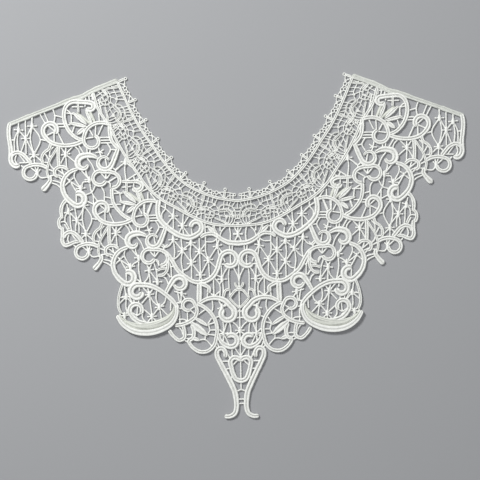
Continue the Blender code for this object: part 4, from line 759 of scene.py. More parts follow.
CORD_SECTION = two_rolls(groove=0.5)
LEAF_SECTION = two_rolls(groove=0.66)
FLAT_SECTION = two_rolls(groove=0.88)
DOME_SECTION = section_ring(DOME_FOOT, OVER_THE_TOP, DOME_FOOT)
print("points round a cord:", len(CORD_SECTION))

# %% [markdown]
# ## A wrapped bar
# A bar is a few threads wrapped into a thin rope. Its section is nearly round, with two bulges that
# turn as the bar goes, so a bar has a ring of its own at each point. A bump in its finish would
# give the turns too, but they would not show at its edges.

# %% Sections of a bar
BAR_SIDES = 10
BAR_TWIST = 2.9  # millimetres to one turn
BAR_BULGE = 0.12


def rope_sections(line):
    """A wrapped bar's section at each point of its line."""
    angle = math.pi - np.linspace(0, 2 * math.pi, BAR_SIDES, endpoint=False)[None, :]
    turned = angle - 2 * math.pi * reach_along(line)[:, None] / BAR_TWIST
    radius = 1 + BAR_BULGE * np.cos(2 * turned)
    return np.stack([radius * np.cos(angle), 0.5 + 0.5 * radius * np.sin(angle)], axis=2)


print("points round a bar:", BAR_SIDES)

# %% [markdown]
# ## An uneven hand
# Hand and machine are never quite even. Each width and height wanders a little, by smoothed random
# numbers from one fixed seed, so that the collar is the same on every run. The ends of a cord are
# rounded off, as the last stitches of satin get shorter.

# %% Unevenness and ends
chance = np.random.default_rng(11)
WANDER_OVER = 9  # points that one bump of unevenness spreads over
END_ROUNDING = 0.45  # of the cord's width
NARROWEST_END = 0.02


def uneven(count, reach):
    """Smooth random numbers round 1, that wander by about reach."""
    rough = chance.normal(0, 1, count + WANDER_OVER - 1)
    return 1 + reach * np.convolve(rough, np.hanning(WANDER_OVER) / 2, mode="valid")


def rounded_ends(line, widths):
    """How much of its width and height a cord has near its ends."""
    reach = reach_along(line)
    from_end = np.minimum(reach, reach[-1] - reach)
    f = np.clip(from_end / (END_ROUNDING * np.maximum(widths, 0.1)), NARROWEST_END, 1)
    return np.sqrt(1 - (1 - f) ** 2)


# %% [markdown]
# ## The worktable
# A machine works a whole piece on one film, thread over thread. The class below does the same: it
# gathers the rings of points and the faces between them until the piece is done. A piece that lies
# across the front has each thread mirrored as it is laid. A Mirror modifier could do that for the
# mesh, but it would leave a cap in the middle of each cord that crosses the axis.

# %% Gather the threads of a piece
LIFT = 0.05  # a thread's flat underside over that of the plain pieces, in millimetres
ON_AXIS = 0.45  # a thread that ends so near the axis goes on into its mirror image
OTHER_SIDE = np.array([-1, 1])


class Work:
    """The threads of one piece, before they are joined into one mesh."""

    def __init__(self, placing=None, across_the_front=False):
        self.placing = placing
        self.across_the_front = across_the_front
        self.points = []
        self.faces = []
        self.maps = []
        self.finishes = []
        self.count = 0

    def placed(self, line):
        """The line where this piece has it."""
        if self.placing is None:
            return line
        p = self.placing
        from_pivot = line[:, 0] - p.about_x
        x = p.about_x + p.shift_x + from_pivot * p.narrowing
        return np.stack([x, line[:, 1] + p.shift_y + from_pivot * p.lean], axis=1)

    def symmetric(self, line):
        """Whether a line is its own mirror image across the front."""
        on_axis = np.abs(line[:, 0]).max() < ON_AXIS
        return on_axis or np.abs(line[0] - line[-1] * OTHER_SIDE).max() < ON_AXIS

    def joined(self, line, widths):
        """A line that ends on the axis, with its mirror image joined to it, and its widths."""
        if not self.across_the_front or self.symmetric(line):
            return line, widths
        if abs(line[-1, 0]) < ON_AXIS <= abs(line[0, 0]):
            line, widths = line[::-1], widths[::-1]
        if abs(line[0, 0]) < ON_AXIS:
            line = np.vstack([line[:0:-1], line[1:] * OTHER_SIDE])
            widths = np.concatenate([widths[:0:-1], widths[1:]])
        return line, widths

    def lay(self, line, widths, heights, sections, finish, across=None):
        """Lays thread along a line. sections is one ring for all of it, or a ring for each point."""
        rings, sides = len(line), sections.shape[-2]
        sections = np.broadcast_to(sections, (rings, sides, 2))
        half = np.broadcast_to(widths, rings)[:, None, None] / 2
        flat = line[:, None, :] + normals_of(line)[:, None, :] * sections[:, :, :1] * half
        up = LIFT + sections[:, :, 1] * np.broadcast_to(heights, rings)[:, None]
        points = np.concatenate([flat, up[:, :, None]], axis=2).reshape(-1, 3)
        if across is None:
            across = np.clip(sections[:, :, 0] * 0.5 + 0.5, 0, 1)
        along = np.repeat(reach_along(line)[:, None] / MAP_UNIT, sides, axis=1)
        maps = np.stack([across, along], axis=2).reshape(-1, 2)
        faces = self.faces_between(rings, sides)
        self.keep(points, faces, maps, finish)
        if self.across_the_front and not self.symmetric(line):
            self.keep(points * [-1, 1, 1], faces[:, ::-1], maps, finish)

    def faces_between(self, rings, sides):
        """The walls from ring to ring, and a cap on each end, all four-sided."""
        here = np.arange(rings * sides).reshape(rings, sides)
        after = np.roll(here, -1, axis=1)
        walls = np.stack([here[:-1], here[1:], after[1:], after[:-1]], axis=2).reshape(-1, 4)
        k = np.arange(sides // 2 - 1)
        cap = np.stack([k, k + 1, sides - 2 - k, sides - 1 - k], axis=1)
        return np.vstack([walls, cap, cap[:, ::-1] + (rings - 1) * sides])

    def keep(self, points, faces, maps, finish):
        self.points.append(points)
        self.faces.append(faces + self.count)
        self.maps.append(maps)
        self.finishes.append(np.full(len(faces), finish))
        self.count += len(points)


# %% [markdown]
# ## Satin and bars
# All the lace is made of two kinds of thread: satin, laid over its line in whatever section it has,
# and wrapped bars. A cord is 1.75 mm high and a bar a little over 1 mm, so the pattern stands up
# from its ground, which is what makes guipure look carved.

# %% Lay satin, lay a bar
CORD_HEIGHT = 1.75
BAR_HEIGHT = 1.15
BAR_WIDTH = 1.25
END_HEIGHT = 0.55  # of the cord's height


def lay_satin(work, line, widths, height=CORD_HEIGHT, section=CORD_SECTION, finish=CORD):
    line = work.placed(line)
    line, widths = work.joined(line, np.broadcast_to(widths, len(line)))
    widths = widths * uneven(len(line), 0.035)
    ends = rounded_ends(line, widths)
    heights = height * uneven(len(line), 0.04) * (END_HEIGHT + (1 - END_HEIGHT) * ends)
    work.lay(line, widths * ends, heights, section, finish)


def lay_rope(work, line, width, height, wander):
    widths = width * uneven(len(line), wander)
    work.lay(line, widths, height * uneven(len(line), 0.05), rope_sections(line), BAR)


def lay_bar(work, route):
    lay_rope(work, work.placed(smooth_line(route, BAR_STEP)), BAR_WIDTH, BAR_HEIGHT, 0.06)


# %% [markdown]
# ## Stars
# Where bars cross, the machine stitches a small knot, and two short arms with a knob each stick out
# of it. They carry nothing and are there for show. A star could be one mesh placed many times. Here
# each is stitched afresh, because its arms turn and its bars go where the chart sends them.

# %% Knots and picots
KNOT_HEIGHT = 1.7
KNOT_REACH = 2.9
KNOT_END = 1.1  # how wide a knot is at its ends, and how much wider in the middle
KNOT_SWELL = 1.7
PICOT_REACH = 4.0
PICOT_WIDTH = 1.0
KNOB_SWELL = 0.6
KNOB_FROM_TIP = 0.7
KNOB_LENGTH = 0.55


def lay_picots(work, middle, degrees):
    angle = math.radians(degrees)
    arm = np.array([math.cos(angle), math.sin(angle)]) * PICOT_REACH
    for tip in (middle + arm, middle - arm):
        line = smooth_line([middle, tip], FINE_STEP)
        reach = reach_along(line)
        knob = np.exp(-((reach - reach[-1] + KNOB_FROM_TIP) / KNOB_LENGTH) ** 2)
        lay_satin(work, line, PICOT_WIDTH + KNOB_SWELL * knob, BAR_HEIGHT, DOME_SECTION, BAR)


def lay_star(work, row):
    middle = np.array([row.x, row.y])
    up = np.array([0, KNOT_REACH * row.knot])
    knot = smooth_line([middle - up, middle, middle + up], FINE_STEP)
    swell = KNOT_SWELL * row.knot * np.sin(np.linspace(0.12, math.pi - 0.12, len(knot)))
    lay_satin(work, knot, KNOT_END + swell, KNOT_HEIGHT, DOME_SECTION, BAR)
    lay_picots(work, middle, row.picots_at)
    for route in row.bars_to:
        lay_bar(work, [(row.x, row.y)] + route)


# %% [markdown]
# ## From a chart to threads
# A piece's charts are worked in the order that a lace maker would choose: the cords that carry it,
# then its leaves, then the bars and stars that tie them. A dull leaf is padded, so it is lower,
# blunter and has no vein.

# %% Work the rows of a chart
PAD_SHARE = 0.8  # a dull leaf's height, as a share of a bright one's
PAD_POINT = 0.45  # the lower, the blunter
LEAF_POINT = 0.75


def lay_cord(work, row):
    places = list(row.route)
    if row.scroll:
        places += scroll_places(places[-1], row.scroll)
    line = smooth_line(places)
    along = np.linspace(0, 1, len(line))
    widths = row.width + (row.tip_width - row.width) * along + row.swell * np.sin(math.pi * along)
    lay_satin(work, line, widths)


def lay_leaf(work, row):
    line = smooth_line([row.tip, row.foot], BAR_STEP)
    swell = np.sin(math.pi * np.linspace(0.04, 0.96, len(line)))
    if row.finish == PAD:
        lay_satin(work, line, row.width * swell ** PAD_POINT, CORD_HEIGHT * PAD_SHARE, DOME_SECTION, PAD)
    else:
        lay_satin(work, line, row.width * swell ** LEAF_POINT, CORD_HEIGHT, LEAF_SECTION, LEAF)


def stitch(work, whole_chart):
    """Works a piece's chart, and hands the work back."""
    for lay_row, rows in zip((lay_cord, lay_leaf, lay_bar, lay_star), whole_chart):
        for row in rows:
            lay_row(work, row)
    return work


# %% [markdown]
# ## The neck band
# The band is a net between two cords, with one figure worked over and over along it: a snail of
# rings, a small flower and a leaf. The figure is charted once, straight. Its first number is the
# way along the band and its second the way across, both in millimetres, and a function bends it
# to the neck's curve. An Array and a Curve modifier would leave it too narrow where the band is
# wide. The middle of the band, where the two halves meet, has a few bars of its own.

# %% The figure in the band: cords and leaves
BAND_STARTS = [0.0, 31.0, 61.8, 91.6, 120.9]
BAND_ACROSS = 20.0
FIGURE_CORDS = [
    Cord("outer_ring", 1.2, 1.2, [
        (1.6, 14.6), (1.7, 10.6), (2.7, 7.4), (4.7, 5.4), (7.2, 4.7), (9.6, 4.5), (12.2, 4.8),
        (14.2, 6.1), (15.5, 8.9)]),
    Cord("broad_ring", 2.1, 1.4, [
        (3.7, 14.6), (4.1, 11.2), (5.3, 9), (7.4, 7.9), (10, 7.7), (12.6, 8.3), (15.5, 9)]),
    Cord("inner_ring", 1.2, 1.0, [
        (5.5, 14), (6, 11.4), (7.1, 9.9), (8.7, 9.3), (10.6, 9.5), (13, 10.2), (15.3, 10.1)]),
    Cord("leaf_cord", 2.1, 1.3, [(6.8, 19.4), (9.5, 17.6), (13, 16.4), (17.8, 15.1)]),
    Cord("post", 1.6, 1.9, [(29.2, 1), (28.7, 4), (28.9, 7), (29.4, 9.4), (28.4, 11.4)]),
    Cord("flower_wall", 1.3, 1.2, [
        (18.4, 10.2), (18.1, 12.6), (18.6, 14.8), (20.4, 16), (22.6, 16.6), (24.4, 16)]),
]
FIGURE_LEAVES = [
    Leaf("eye", 2.2, (6.8, 12.9), (10.2, 13.1)), Leaf("eye_foot", 1.7, (8.4, 12.6), (8.8, 15.4)),
    Leaf("knot", 2.3, (17.6, 6.1), (20.4, 5.6)), Leaf("petal_a", 2.0, (21.7, 11), (21.3, 15)),
    Leaf("petal_b", 1.5, (21.6, 10.9), (25.6, 10.8)), Leaf("petal_c", 1.5, (25.1, 10.8), (25.7, 14.4)),
    Leaf("petal_d", 1.4, (21.8, 14.5), (25.8, 14.4)), Leaf("broad_petal", 2.6, (24.8, 10.5), (31, 13.3)),
]
print("the figure is worked", 2 * len(BAND_STARTS), "times")

# %% The figure in the band: bars
FIGURE_BARS = [
    [(6.9, 4.8), (7.1, 7.7)], [(11.2, 4.7), (11.2, 7.8)], [(2.3, 8.1), (4.3, 9.5)],
    [(1.8, 11.9), (4, 12.2)], [(1.4, 13.3), (5.6, 13.4)], [(4, 11.4), (6, 11.6)],
    [(8.6, 7.9), (8.7, 9.3)], [(9.4, 12.8), (10.2, 11), (10.1, 9.5)], [(9.6, 13.2), (13.9, 13.1)],
    [(7, 12.8), (5.6, 13.2)], [(8.6, 14.6), (8.9, 16.6)],
    [(14.6, 10.2), (14.4, 12.6), (13.4, 14.3), (13, 16.2)], [(14.4, 12.5), (18.2, 12.4)],
    [(15.5, 8.9), (15.3, 10.2)], [(6.3, 13.4), (6.5, 16.5), (7.2, 19.4)],
    [(3.9, 14.4), (4.3, 16.6), (6.4, 19.4)], [(1.5, 14.4), (2.4, 15.6), (2.6, 17.2), (4.6, 19.6)],
    [(-0.6, 17.9), (2.6, 17.2)], [(-1.4, 14.2), (1.6, 14.6)], [(-0.4, 15.6), (-0.3, 18), (-1, 19.8)],
    [(2, 0.9), (3.2, 3.4), (4.4, 5.5)], [(5.5, 0.6), (6.3, 3.2), (6.9, 4.8)], [(8.5, 0.6), (8.6, 4.6)],
    [(11.3, 0.6), (11.3, 4.7)], [(17.2, 0.6), (18, 3.4), (18.9, 5.6)], [(21.1, 0.6), (21.2, 5)],
    [(24.8, 0.6), (24.9, 5.2), (25, 9)], [(31, 0.6), (30.4, 3.4), (30, 5.8)],
    [(15.4, 8.4), (17, 6.7), (19, 5.8), (21.2, 5), (24.8, 5.1), (28.6, 5.4)],
    [(19, 5.8), (20.8, 7.5), (22.2, 8.8), (25, 9), (27.6, 9.7), (29, 10.6)],
    [(15.4, 9.3), (18.4, 10.2), (20.6, 9.6), (22.2, 8.8)], [(29.4, 5.9), (32.4, 5.6), (35.6, 5.7)],
    [(29.6, 8.5), (31.4, 8.7), (33, 8.4)], [(29.4, 11.1), (31, 11.7), (32.8, 12.7)],
    [(18.4, 11.1), (20, 11.5), (21.6, 11.1)], [(18.6, 14), (21.2, 13.6)], [(22.4, 8.8), (23.4, 10.6)],
    [(26.2, 9.4), (25.6, 10.6)], [(21.5, 14.8), (22, 16.4)], [(25.2, 14.4), (24.4, 16)],
    [(25.6, 14.2), (27.6, 14.9), (28.8, 15.8)], [(28.4, 13.4), (28.2, 15.4)],
    [(30.8, 13.2), (31.2, 15.2), (28.8, 15.8)], [(19.4, 15.5), (19.5, 17.4), (19, 19.6)],
    [(21.9, 16.5), (21.9, 19.6)], [(24.4, 16), (24.2, 19.6)], [(27.6, 14.9), (27.6, 16.8), (27, 19.6)],
    [(28.8, 15.8), (30.4, 17.2), (31.2, 19.6)], [(31.2, 15.2), (30.6, 17.2)],
]
CENTRE_BARS = [
    [(0, 0.6), (0, 6.4)], [(3.6, 6.2), (0, 6.4), (-3.6, 6.2)], [(2.4, 8.6), (0, 8.9), (-2.4, 8.6)],
    [(1.8, 11.4), (0, 11.7), (-1.8, 11.4)], [(1.8, 14.4), (0, 14.1), (-1.8, 14.4)],
    [(0, 11.7), (0, 14.1)], [(2.6, 17.2), (0, 17.6), (-2.6, 17.2)], [(0, 17.6), (1.4, 19.8)],
]
FIGURE = chart("figure", FIGURE_CORDS, FIGURE_LEAVES, FIGURE_BARS, [])

# %% [markdown]
# ## The picot edging
# Inside the neck a fine chain of loops runs from peg to peg, and each peg is a ring on a stem.
# The stretch between two pegs is charted once too: its first number is the way on from a peg, as
# a share of the stretch, and its second the height over the neck cord. A share stretches with
# the distance, and millimetres would leave a gap before some pegs.

# %% The edging between two pegs
EDGING_RINGS = [(0.35, 3.3, 1.25), (0.62, 2.9, 1.3)]  # share of the way, height, radius
EDGING_BARS = [
    [(0.03, 5), (0.14, 4.5), (0.28, 3.9)], [(0.02, 0.4), (0.09, 1.9), (0.18, 3.1), (0.28, 3.3)],
    [(0.18, 3.1), (0.2, 4.2)], [(0.345, 2.2), (0.34, 0.2)], [(0.4, 4), (0.475, 3.6), (0.55, 3.5)],
    [(0.54, 2.6), (0.53, 0.2)], [(0.67, 2), (0.68, 1.4), (0.75, 0.4)], [(0.79, 2.9), (0.8, 4.1)],
    [(0.68, 2.8), (0.79, 2.9), (0.84, 1.9), (0.94, 0.4)], [(0.69, 3.4), (0.79, 4.1), (0.94, 5)],
    [(0.42, 2.7), (0.47, 1.6), (0.46, 0.2)],
]
FIRST_RING = (2.8, 4, 0.95)  # millimetres from the centre front, height, radius
FIRST_BARS = [
    [(3.6, 4.5), (6, 5), (9.8, 5.1)], [(3.4, 3.3), (4.8, 2.9), (6, 3), (7.6, 2.2), (9.4, 0.5)],
    [(6, 3), (5.8, 0.2)], [(4, 3), (3.2, 0.2)], [(6, 3), (6.4, 4.9)],
]
print("between two pegs:", len(EDGING_RINGS), "rings and", len(EDGING_BARS), "bars")

# %% [markdown]
# ## Bending a chart to the neck
# Both edges of the band are divided into the same number of parts. A place on the straight chart
# then lies so far along them, and so far from one to the other. The real net was pulled as it was
# worked: next to the neck cord it leans back towards the centre front, by up to 2.8 mm on the way
# to the shoulder. A lattice could bend it as well, but it would bend the thread's section too.

# %% From the straight chart to the neck
BAND_PARTS = 300
LEAN_AT = [15, 45, 75, 105, 135]
LEANS = [0, 1.2, 2.6, 2.8, 2.4]
LEAN_DEPTH = 7.0


def in_parts(line):
    """The same line with BAND_PARTS parts of one length."""
    reach = reach_along(line)
    return read_off(np.linspace(0, reach[-1], BAND_PARTS + 1), reach, line)


neck_line = in_parts(smooth_line(NECK_LINE))
edge_line = in_parts(smooth_line(BAND_EDGE))
middle_reach = reach_along((neck_line + edge_line) / 2)
neck_reach = reach_along(neck_line)
print("the band is", round(middle_reach[-1]), "mm long from the centre front to a shoulder")


def on_band(places):
    """Places on the straight chart, bent to the neck. Those on the far side of the centre mirror."""
    s, t = np.array(places, dtype=float).T
    lean = np.interp(np.abs(s), LEAN_AT, LEANS) * np.clip(1 - t / LEAN_DEPTH, 0, 1)
    s = np.where(s < 0, s + lean, s - lean)
    inner = read_off(np.abs(s), middle_reach, neck_line)
    outer = read_off(np.abs(s), middle_reach, edge_line)
    bent = inner + (outer - inner) * (t / BAND_ACROSS)[:, None]
    bent[:, 0] *= np.where(s < 0, -1, 1)
    return bent


# %% [markdown]
# ## Two more places to stitch
# The edging is charted from the neck line outwards, and everything on the band has to stop where
# the shoulder bar closes the collar. Both are a matter of geometry, so two helpers do it: one
# steps out along the neck line's normals, and one cuts a line where it meets the bar.

# %% Over the neck line, and before the shoulder
def over_neck(places):
    """Places given by the way along the neck cord and the height over it, into the opening."""
    s, up = np.array(places, dtype=float).T
    foot = read_off(s, neck_reach, neck_line)
    outward = read_off(s, neck_reach, -normals_of(neck_line))
    return foot + outward * up[:, None]


def before_the_shoulder(line):
    """The first stretch of a line that hasn't passed under the shoulder bar."""
    (ax, ay), (bx, by) = SHOULDER_BAR.route[-2:]
    beyond = line[:, 1] - ay - (line[:, 0] - ax) * (by - ay) / (bx - ax)
    ends = np.flatnonzero(np.diff(np.concatenate([[0], beyond < 0, [0]])))
    return line[ends[0]:ends[1]] if len(ends) else line[:0]


# %% [markdown]
# ## Working the band
# The band's two cords are laid first. The figure is then worked at each of its five starts on the
# drawn half, as far as the shoulder bar, and the worktable mirrors it. Its net is the finest work
# in the collar, so its threads are lower and thinner than the rest.

# %% The neck band
NECK_CORD = 2.3
NECK_CORD_AT = 0.5  # how far the cord's middle lies in from the neck line
BAND_CORD = 2.5
NET_BAR = 0.85
NET_HEIGHT = 1.0
NET_CORD_HEIGHT = 1.3
NET_LEAF_HEIGHT = 1.35
SHORTEST_CORD = 5  # points: what the shoulder leaves shorter isn't laid
SHORTEST_BAR = 4


def clear_part(line):
    """The part of a line of the figure that is on the band and on the drawn half."""
    on_half = line[(line[:, 0] >= 0) & (line[:, 0] <= middle_reach[-1])]
    return before_the_shoulder(on_band(on_half)) if len(on_half) > 1 else on_half


def lay_figure(work, start):
    shift = np.array([start, 0.0])
    cords, leaves, bars, _ = FIGURE
    for row in cords:
        line = clear_part(smooth_line(row.route) + shift)
        if len(line) >= SHORTEST_CORD:
            widths = np.linspace(row.width, row.tip_width, len(line))
            lay_satin(work, line, widths, NET_CORD_HEIGHT)
    for row in leaves:
        line = clear_part(smooth_line([row.tip, row.foot], FINE_STEP) + shift)
        if len(line) >= SHORTEST_CORD:
            widths = row.width * np.sin(math.pi * np.linspace(0.05, 0.95, len(line))) ** 0.7
            lay_satin(work, line, widths, NET_LEAF_HEIGHT, LEAF_SECTION, LEAF)
    for route in bars:
        line = clear_part(smooth_line(route, BAR_STEP) + shift)
        if len(line) >= SHORTEST_BAR:
            lay_rope(work, line, NET_BAR, NET_HEIGHT, 0.08)


def neck_band():
    work = Work(across_the_front=True)
    cord_line = neck_line + (edge_line - neck_line) * NECK_CORD_AT / BAND_ACROSS
    lay_satin(work, cord_line[::2], NECK_CORD)
    lay_satin(work, before_the_shoulder(edge_line[::2]), BAND_CORD)
    for start in BAND_STARTS:
        lay_figure(work, start)
    for route in CENTRE_BARS:
        lay_rope(work, on_band(smooth_line(route, BAR_STEP)), NET_BAR, NET_HEIGHT, 0.0)
    return work


# %% [markdown]
# ## Working the edging
# Each peg is a short satin stem with a ring on its tip. Between two pegs the same loops come again,
# stretched to fit, because the pegs stand a little unevenly. The first stretch, across the centre
# front, has a pattern of its own.

# %% The neck edging
EDGING_STEP = 0.4
PEG_RING = 0.95
PEG_WIDTH = 2.2
PEG_FOOT = 0.2  # heights over the neck cord: a stem starts and turns here
PEG_TURN = 3.5
PEG_STOPS = 0.3  # of the way back from the ring's middle
RING_POINTS = 25


def ring(middle, radius):
    """A closed loop of points round a middle."""
    turn = np.linspace(0, 2 * math.pi, RING_POINTS)
    return np.array(middle) + radius * np.stack([np.cos(turn), np.sin(turn)], axis=1)


def neck_edging():
    work = Work(across_the_front=True)

    def lay_line(line):
        line = before_the_shoulder(line)
        if len(line) >= SHORTEST_BAR:
            lay_rope(work, line, NET_BAR, NET_HEIGHT, 0.0)

    def lay_ring(along, height, radius):
        lay_line(ring(over_neck([(along, height)])[0], radius))

    def lay_route(places):
        lay_line(over_neck(smooth_line(places, EDGING_STEP)))

    starts = [neck_reach[np.argmin(np.linalg.norm(neck_line - peg, axis=1))] for peg in PEGS]
    for start, peg in zip(starts, PEGS):
        foot, turn = over_neck([(start, PEG_FOOT), (start, PEG_TURN)])
        stem = smooth_line([foot, turn, peg - (peg - turn) * PEG_STOPS], BAR_STEP)
        lay_satin(work, stem, PEG_WIDTH, NET_CORD_HEIGHT)
        lay_line(ring(peg, PEG_RING))
    for start, end in zip(starts, starts[1:]):
        for share, height, radius in EDGING_RINGS:
            lay_ring(start + share * (end - start), height, radius)
        for route in EDGING_BARS:
            lay_route([(start + share * (end - start), height) for share, height in route])
    lay_ring(*FIRST_RING)
    for route in FIRST_BARS:
        lay_route(route)
    return work


# %% [markdown]
# ## The shoulder bar and the wings
# The shoulder bar is one firm cord, a little wider at the neck. A wing works the shared chart in its
# place first, and then its own chart, which isn't moved. The front panel, the lobe, the bow and the
# pendant are nothing but their charts, so they need no function of their own.

# %% Shoulder bar and wings
SHOULDER_HEIGHT = 1.5


def shoulder_bar():
    work = Work()
    line = smooth_line(SHOULDER_BAR.route)
    widths = np.linspace(SHOULDER_BAR.width, SHOULDER_BAR.tip_width, len(line))
    widths *= uneven(len(line), 0.06)
    lay_satin(work, line, widths, SHOULDER_HEIGHT, LEAF_SECTION, SHADED)
    return work


def scroll_wing(placing, own_chart):
    work = stitch(Work(placing), WING)
    work.placing = None
    return stitch(work, own_chart)


# %% [markdown]
# ## The padded crescent
# The crescent is an outer cord of two flat rolls, and beside it a dull pad that swells towards the
# lobe. Two threads side by side would leave a slit between them, so one section holds both: the
# cord's top, then the pad's, and one flat underside. The fuller the pad, the further the section
# moves in from the route. Its faces are then shared out, cord or pad.

# %% The crescent
CRESCENT_HEIGHT = 2.6
PAD_HEIGHT = 0.8  # as a share of the cord's
CORD_TIP = 2.6
CORD_SWELL = 2.2
PAD_SWELL = 5.4
FULLER_BY = 1.7  # the pad is fuller near its end at the lobe
FULLEST_AT = 0.82
FULLER_OVER = 0.16


def crescent():
    work = Work()
    line = smooth_line(CRESCENT_ROUTE)
    swell = np.sin(np.linspace(0.1, math.pi - 0.1, len(line)))
    along = np.linspace(0, 1, len(line))
    fuller = 0.7 * swell + FULLER_BY * np.exp(-((along - FULLEST_AT) / FULLER_OVER) ** 2)
    cord = CORD_TIP + CORD_SWELL * swell
    pad = PAD_SWELL * swell ** 1.3 + fuller
    share = (cord / (cord + pad))[:, None]
    cord_top = FLAT_SECTION[:-len(UNDERNEATH)]
    pad_top = DOME_SECTION[1:-len(UNDERNEATH)]
    sides = np.concatenate([
        -1 + (cord_top[None, :, 0] + 1) * share,
        -1 + 2 * share + (pad_top[None, :, 0] + 1) * (1 - share),
        np.broadcast_to(UNDERNEATH[:, 0], (len(line), len(UNDERNEATH)))], axis=1)
    tops = np.concatenate([cord_top[:, 1], pad_top[:, 1] * PAD_HEIGHT, UNDERNEATH[:, 1]])
    sections = np.stack([sides, np.broadcast_to(tops, sides.shape)], axis=2)
    across = np.concatenate([cord_top[:, 0], pad_top[:, 0], UNDERNEATH[:, 0]]) * 0.5 + 0.5
    inwards = 0.2 * (pad - cord) + 0.3 * fuller + 0.5
    middle = line + normals_of(line) * inwards[:, None]
    heights = CRESCENT_HEIGHT * (0.6 + 0.4 * rounded_ends(middle, cord + pad))
    widths = (cord + pad) * rounded_ends(middle, cord)
    work.lay(middle, widths, heights, sections, CORD, np.broadcast_to(across, sides.shape))
    is_pad = np.arange(len(across)) >= len(cord_top) - 1
    walls = (len(line) - 1) * len(across)
    work.finishes[0][:walls] = np.tile(np.where(is_pad, PAD, CORD), len(line) - 1)
    return work


# %% [markdown]
# ## From worktable to object
# All the threads of a piece become one mesh, with one finish for each kind of thread. from_pydata
# would take the same lists, but there are over 400,000 faces, and foreach_set hands them to Blender
# as whole arrays, which is many times faster. What two sides share is worked once and mirrored.

# %% Join the threads
def lace_object(name, work, mirrored=False):
    points = np.concatenate(work.points) * MM
    faces = np.concatenate(work.faces)
    maps = np.concatenate(work.maps)
    if mirrored:
        points = points * [-1, 1, 1]
        faces = faces[:, ::-1]
    mesh = bpy.data.meshes.new(name)
    mesh.vertices.add(len(points))
    mesh.vertices.foreach_set("co", points.ravel())
    mesh.loops.add(faces.size)
    mesh.loops.foreach_set("vertex_index", faces.ravel())
    mesh.polygons.add(len(faces))
    mesh.polygons.foreach_set("loop_start", np.arange(0, faces.size, faces.shape[1]))
    mesh.polygons.foreach_set("material_index", np.concatenate(work.finishes))
    for material in FINISHES:
        mesh.materials.append(material)
    mesh.uv_layers.new(name=STITCH_MAP).data.foreach_set("uv", maps[faces.ravel()].ravel())
    mesh.update(calc_edges=True)
    mesh.shade_smooth()
    made = bpy.data.objects.new(name, mesh)
    bpy.context.scene.collection.objects.link(made)
    return made


# %% [markdown]
# ## How large the cut is
# Lace is cloth, so each piece says how large its cut is. That is the flat area inside the plain
# piece's outline, and the outline is the largest loop of edges round its underside. The band, the
# edging, the shoulder bar and the crescent are strips that curve or slant. A box round such a strip
# is mostly empty, so their length is measured along them instead.

# %% The cut of each piece
STRIPS_MM = {  # width, length and area, laid out straight
    "neck_band": (24.0, 306.0, 7200.0),
    "neck_edging": (10.0, 262.0, 1440.0),
    "shoulder_bar": (10.0, 96.0, 370.0),
    "crescent": (11.0, 56.0, 480.0),
}
FACING_DOWN = -0.5


def inside_outline(node):
    """The area inside a plain piece's outline, gaps and all, in square metres."""
    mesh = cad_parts[node].data
    corners = [tuple(round(c, 6) for c in vertex.co[:2]) for vertex in mesh.vertices]
    sides = set()
    for face in mesh.polygons:
        if face.normal.z < FACING_DOWN:
            loop = [corners[i] for i in face.vertices]
            sides.update(zip(loop, loop[1:] + loop[:1]))
    following = {a: b for a, b in sides if (b, a) not in sides}
    largest = 0.0
    while following:
        first, at = following.popitem()
        twice = first[0] * at[1] - at[0] * first[1]
        while at in following:
            after = following.pop(at)
            twice += at[0] * after[1] - after[0] * at[1]
            at = after
        largest = max(largest, abs(twice) / 2)
    return largest


def cut_of(node):
    """Width, length and area of a piece's cut, in metres."""
    for kind, (width, length, area) in STRIPS_MM.items():
        if node.startswith(kind):
            return width * MM, length * MM, area * MM * MM
    low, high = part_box(node)
    return high[0] - low[0], high[1] - low[1], inside_outline(node)


# %% [markdown]
# ## What each piece stands for
# Each piece takes the place of the plain piece it is named after, which is hidden, and hangs on the
# root. The tables also give each piece the name of one of the model's slots. Python works the pieces as
# it reads these tables.
# The first holds those that lie across the front, and the rest have a left and a right.

# %% Work every piece and put it in its plain piece's place
ACROSS_THE_FRONT = {
    "neck_band": (neck_band(), "net"),
    "neck_edging": (neck_edging(), "net"),
    "front_panel": (stitch(Work(across_the_front=True), FRONT_PANEL), "cord"),
    "pendant": (stitch(Work(across_the_front=True), PENDANT), "cord"),
}
ON_BOTH_SIDES = {
    "shoulder_bar": (shoulder_bar(), "cord"),
    "wing_upper": (scroll_wing(None, UPPER_WING), "cord"),
    "wing_lower": (scroll_wing(LOWER_PLACE, LOWER_WING), "cord"),
    "lobe": (stitch(Work(), LOBE), "cord"),
    "crescent": (crescent(), "satin"),
    "bow": (stitch(Work(), BOW), "cord"),
}


def declare(piece, node):
    """Hides the plain piece that a piece replaces, hangs the piece on the root, prints its cut, and
    gives its triangles.
    """
    width, length, area = cut_of(node)
    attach(piece, "root")
    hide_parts(node)
    triangles = sum(len(face.vertices) - 2 for face in piece.data.polygons)
    cloth = sum(face.area for face in piece.data.polygons) / 2
    print(f"{node}: {triangles} triangles, cut {width / MM:.0f} x {length / MM:.0f} mm, "
          f"{area * 1e4:.1f} cm2, stitched face {cloth * 1e4:.1f} cm2")
    return triangles


total = 0
for node, (work, slot_name) in ACROSS_THE_FRONT.items():
    total += declare(lace_object("lace_" + node, work), node)
for kind, (work, slot_name) in ON_BOTH_SIDES.items():
    for node, mirrored in ((kind + "_left", False), (kind + "_right", True)):
        total += declare(lace_object("lace_" + node, work, mirrored), node)
print("all the lace:", total, "triangles")

# %% [markdown]
# ## The table
# A collar is looked at on a plain table. White lace shows by its gaps and its shadows, so the
# table is a matt pale grey rather than white. It is one large square, just under the lace. The Add
# menu's plane would do too, but a mesh made from its corners doesn't hang on what is selected. It is
# named floor, and the lace lies just over it.

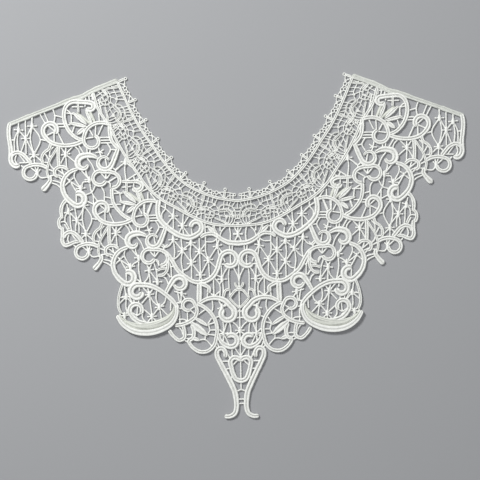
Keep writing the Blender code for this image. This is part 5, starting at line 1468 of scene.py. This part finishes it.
# %% Table
TABLE_HALF = 1.2
TABLE_TOP = -0.0002
TABLE_GREY = (0.33, 0.336, 0.345, 1)
table_mesh = bpy.data.meshes.new("floor")
corners = [(x * TABLE_HALF, y * TABLE_HALF, 0) for x, y in ((-1, -1), (1, -1), (1, 1), (-1, 1))]
table_mesh.from_pydata(corners, [], [(0, 1, 2, 3)])
table = bpy.data.objects.new("floor", table_mesh)
table.location.z = TABLE_TOP
table_finish = Finish("table_grey")
table_finish.plug(table_finish.nodes["Principled BSDF"], {"Base Color": TABLE_GREY, "Roughness": 0.9})
table_mesh.materials.append(table_finish.material)
bpy.context.scene.collection.objects.link(table)
print("the table is", 2 * TABLE_HALF, "m across")

# %% [markdown]
# ## Lamps
# Light that slants in from one side picks out every rib and gives each cord an edge of shadow. A
# large lamp overhead and a dim room keep those shadows open. One sun lamp would draw them too hard.

# %% Lamps
MIDDLE = (0.0, -0.03, 0.0)
ROOM_LIGHT = (0.9, 0.93, 1.0, 1)
ROOM_STRENGTH = 0.12


def lamp(name, place, size, watts):
    light = bpy.data.lights.new(name, "AREA")
    light.shape = "SQUARE"
    light.size = size
    light.energy = watts
    made = bpy.data.objects.new(name, light)
    made.location = place
    made.rotation_euler = (Vector(MIDDLE) - Vector(place)).to_track_quat("-Z", "Y").to_euler()
    bpy.context.scene.collection.objects.link(made)
    print(name, "shines from", place)


lamp("window", (-0.7, 0.8, 0.95), size=0.35, watts=22)
lamp("ceiling", (0.3, -0.2, 1.4), size=1.2, watts=8)
room = bpy.data.worlds.new("room")
room.use_nodes = True
room.node_tree.nodes["Background"].inputs["Color"].default_value = ROOM_LIGHT
room.node_tree.nodes["Background"].inputs["Strength"].default_value = ROOM_STRENGTH
bpy.context.scene.world = room
bpy.context.scene.view_settings.view_transform = "Standard"

# %% [markdown]
# ## Camera
# Flat work is looked at from straight above. The camera hangs a metre up with a long lens, so that
# the raised cords don't lean outwards at the sides of the view. A wide lens close by would take in
# as much, but it would see the shoulders from the side. The camera is rolled by about a degree, as
# if the collar had been laid down by hand.

# %% Camera
CAMERA_HEIGHT = 1.0
VIEW_MIDDLE = (0.0014, -0.0317)
VIEW_WIDTH = 0.3758
SENSOR = 36.0
ROLL_DEGREES = -1.16
camera_data = bpy.data.cameras.new("camera")
camera_data.sensor_width = SENSOR
camera_data.lens = SENSOR * CAMERA_HEIGHT / VIEW_WIDTH
camera = bpy.data.objects.new("camera", camera_data)
camera.location = (*VIEW_MIDDLE, CAMERA_HEIGHT)
camera.rotation_euler = (0, 0, math.radians(ROLL_DEGREES))
bpy.context.scene.collection.objects.link(camera)
bpy.context.scene.camera = camera
print("lens:", round(camera_data.lens), "mm")
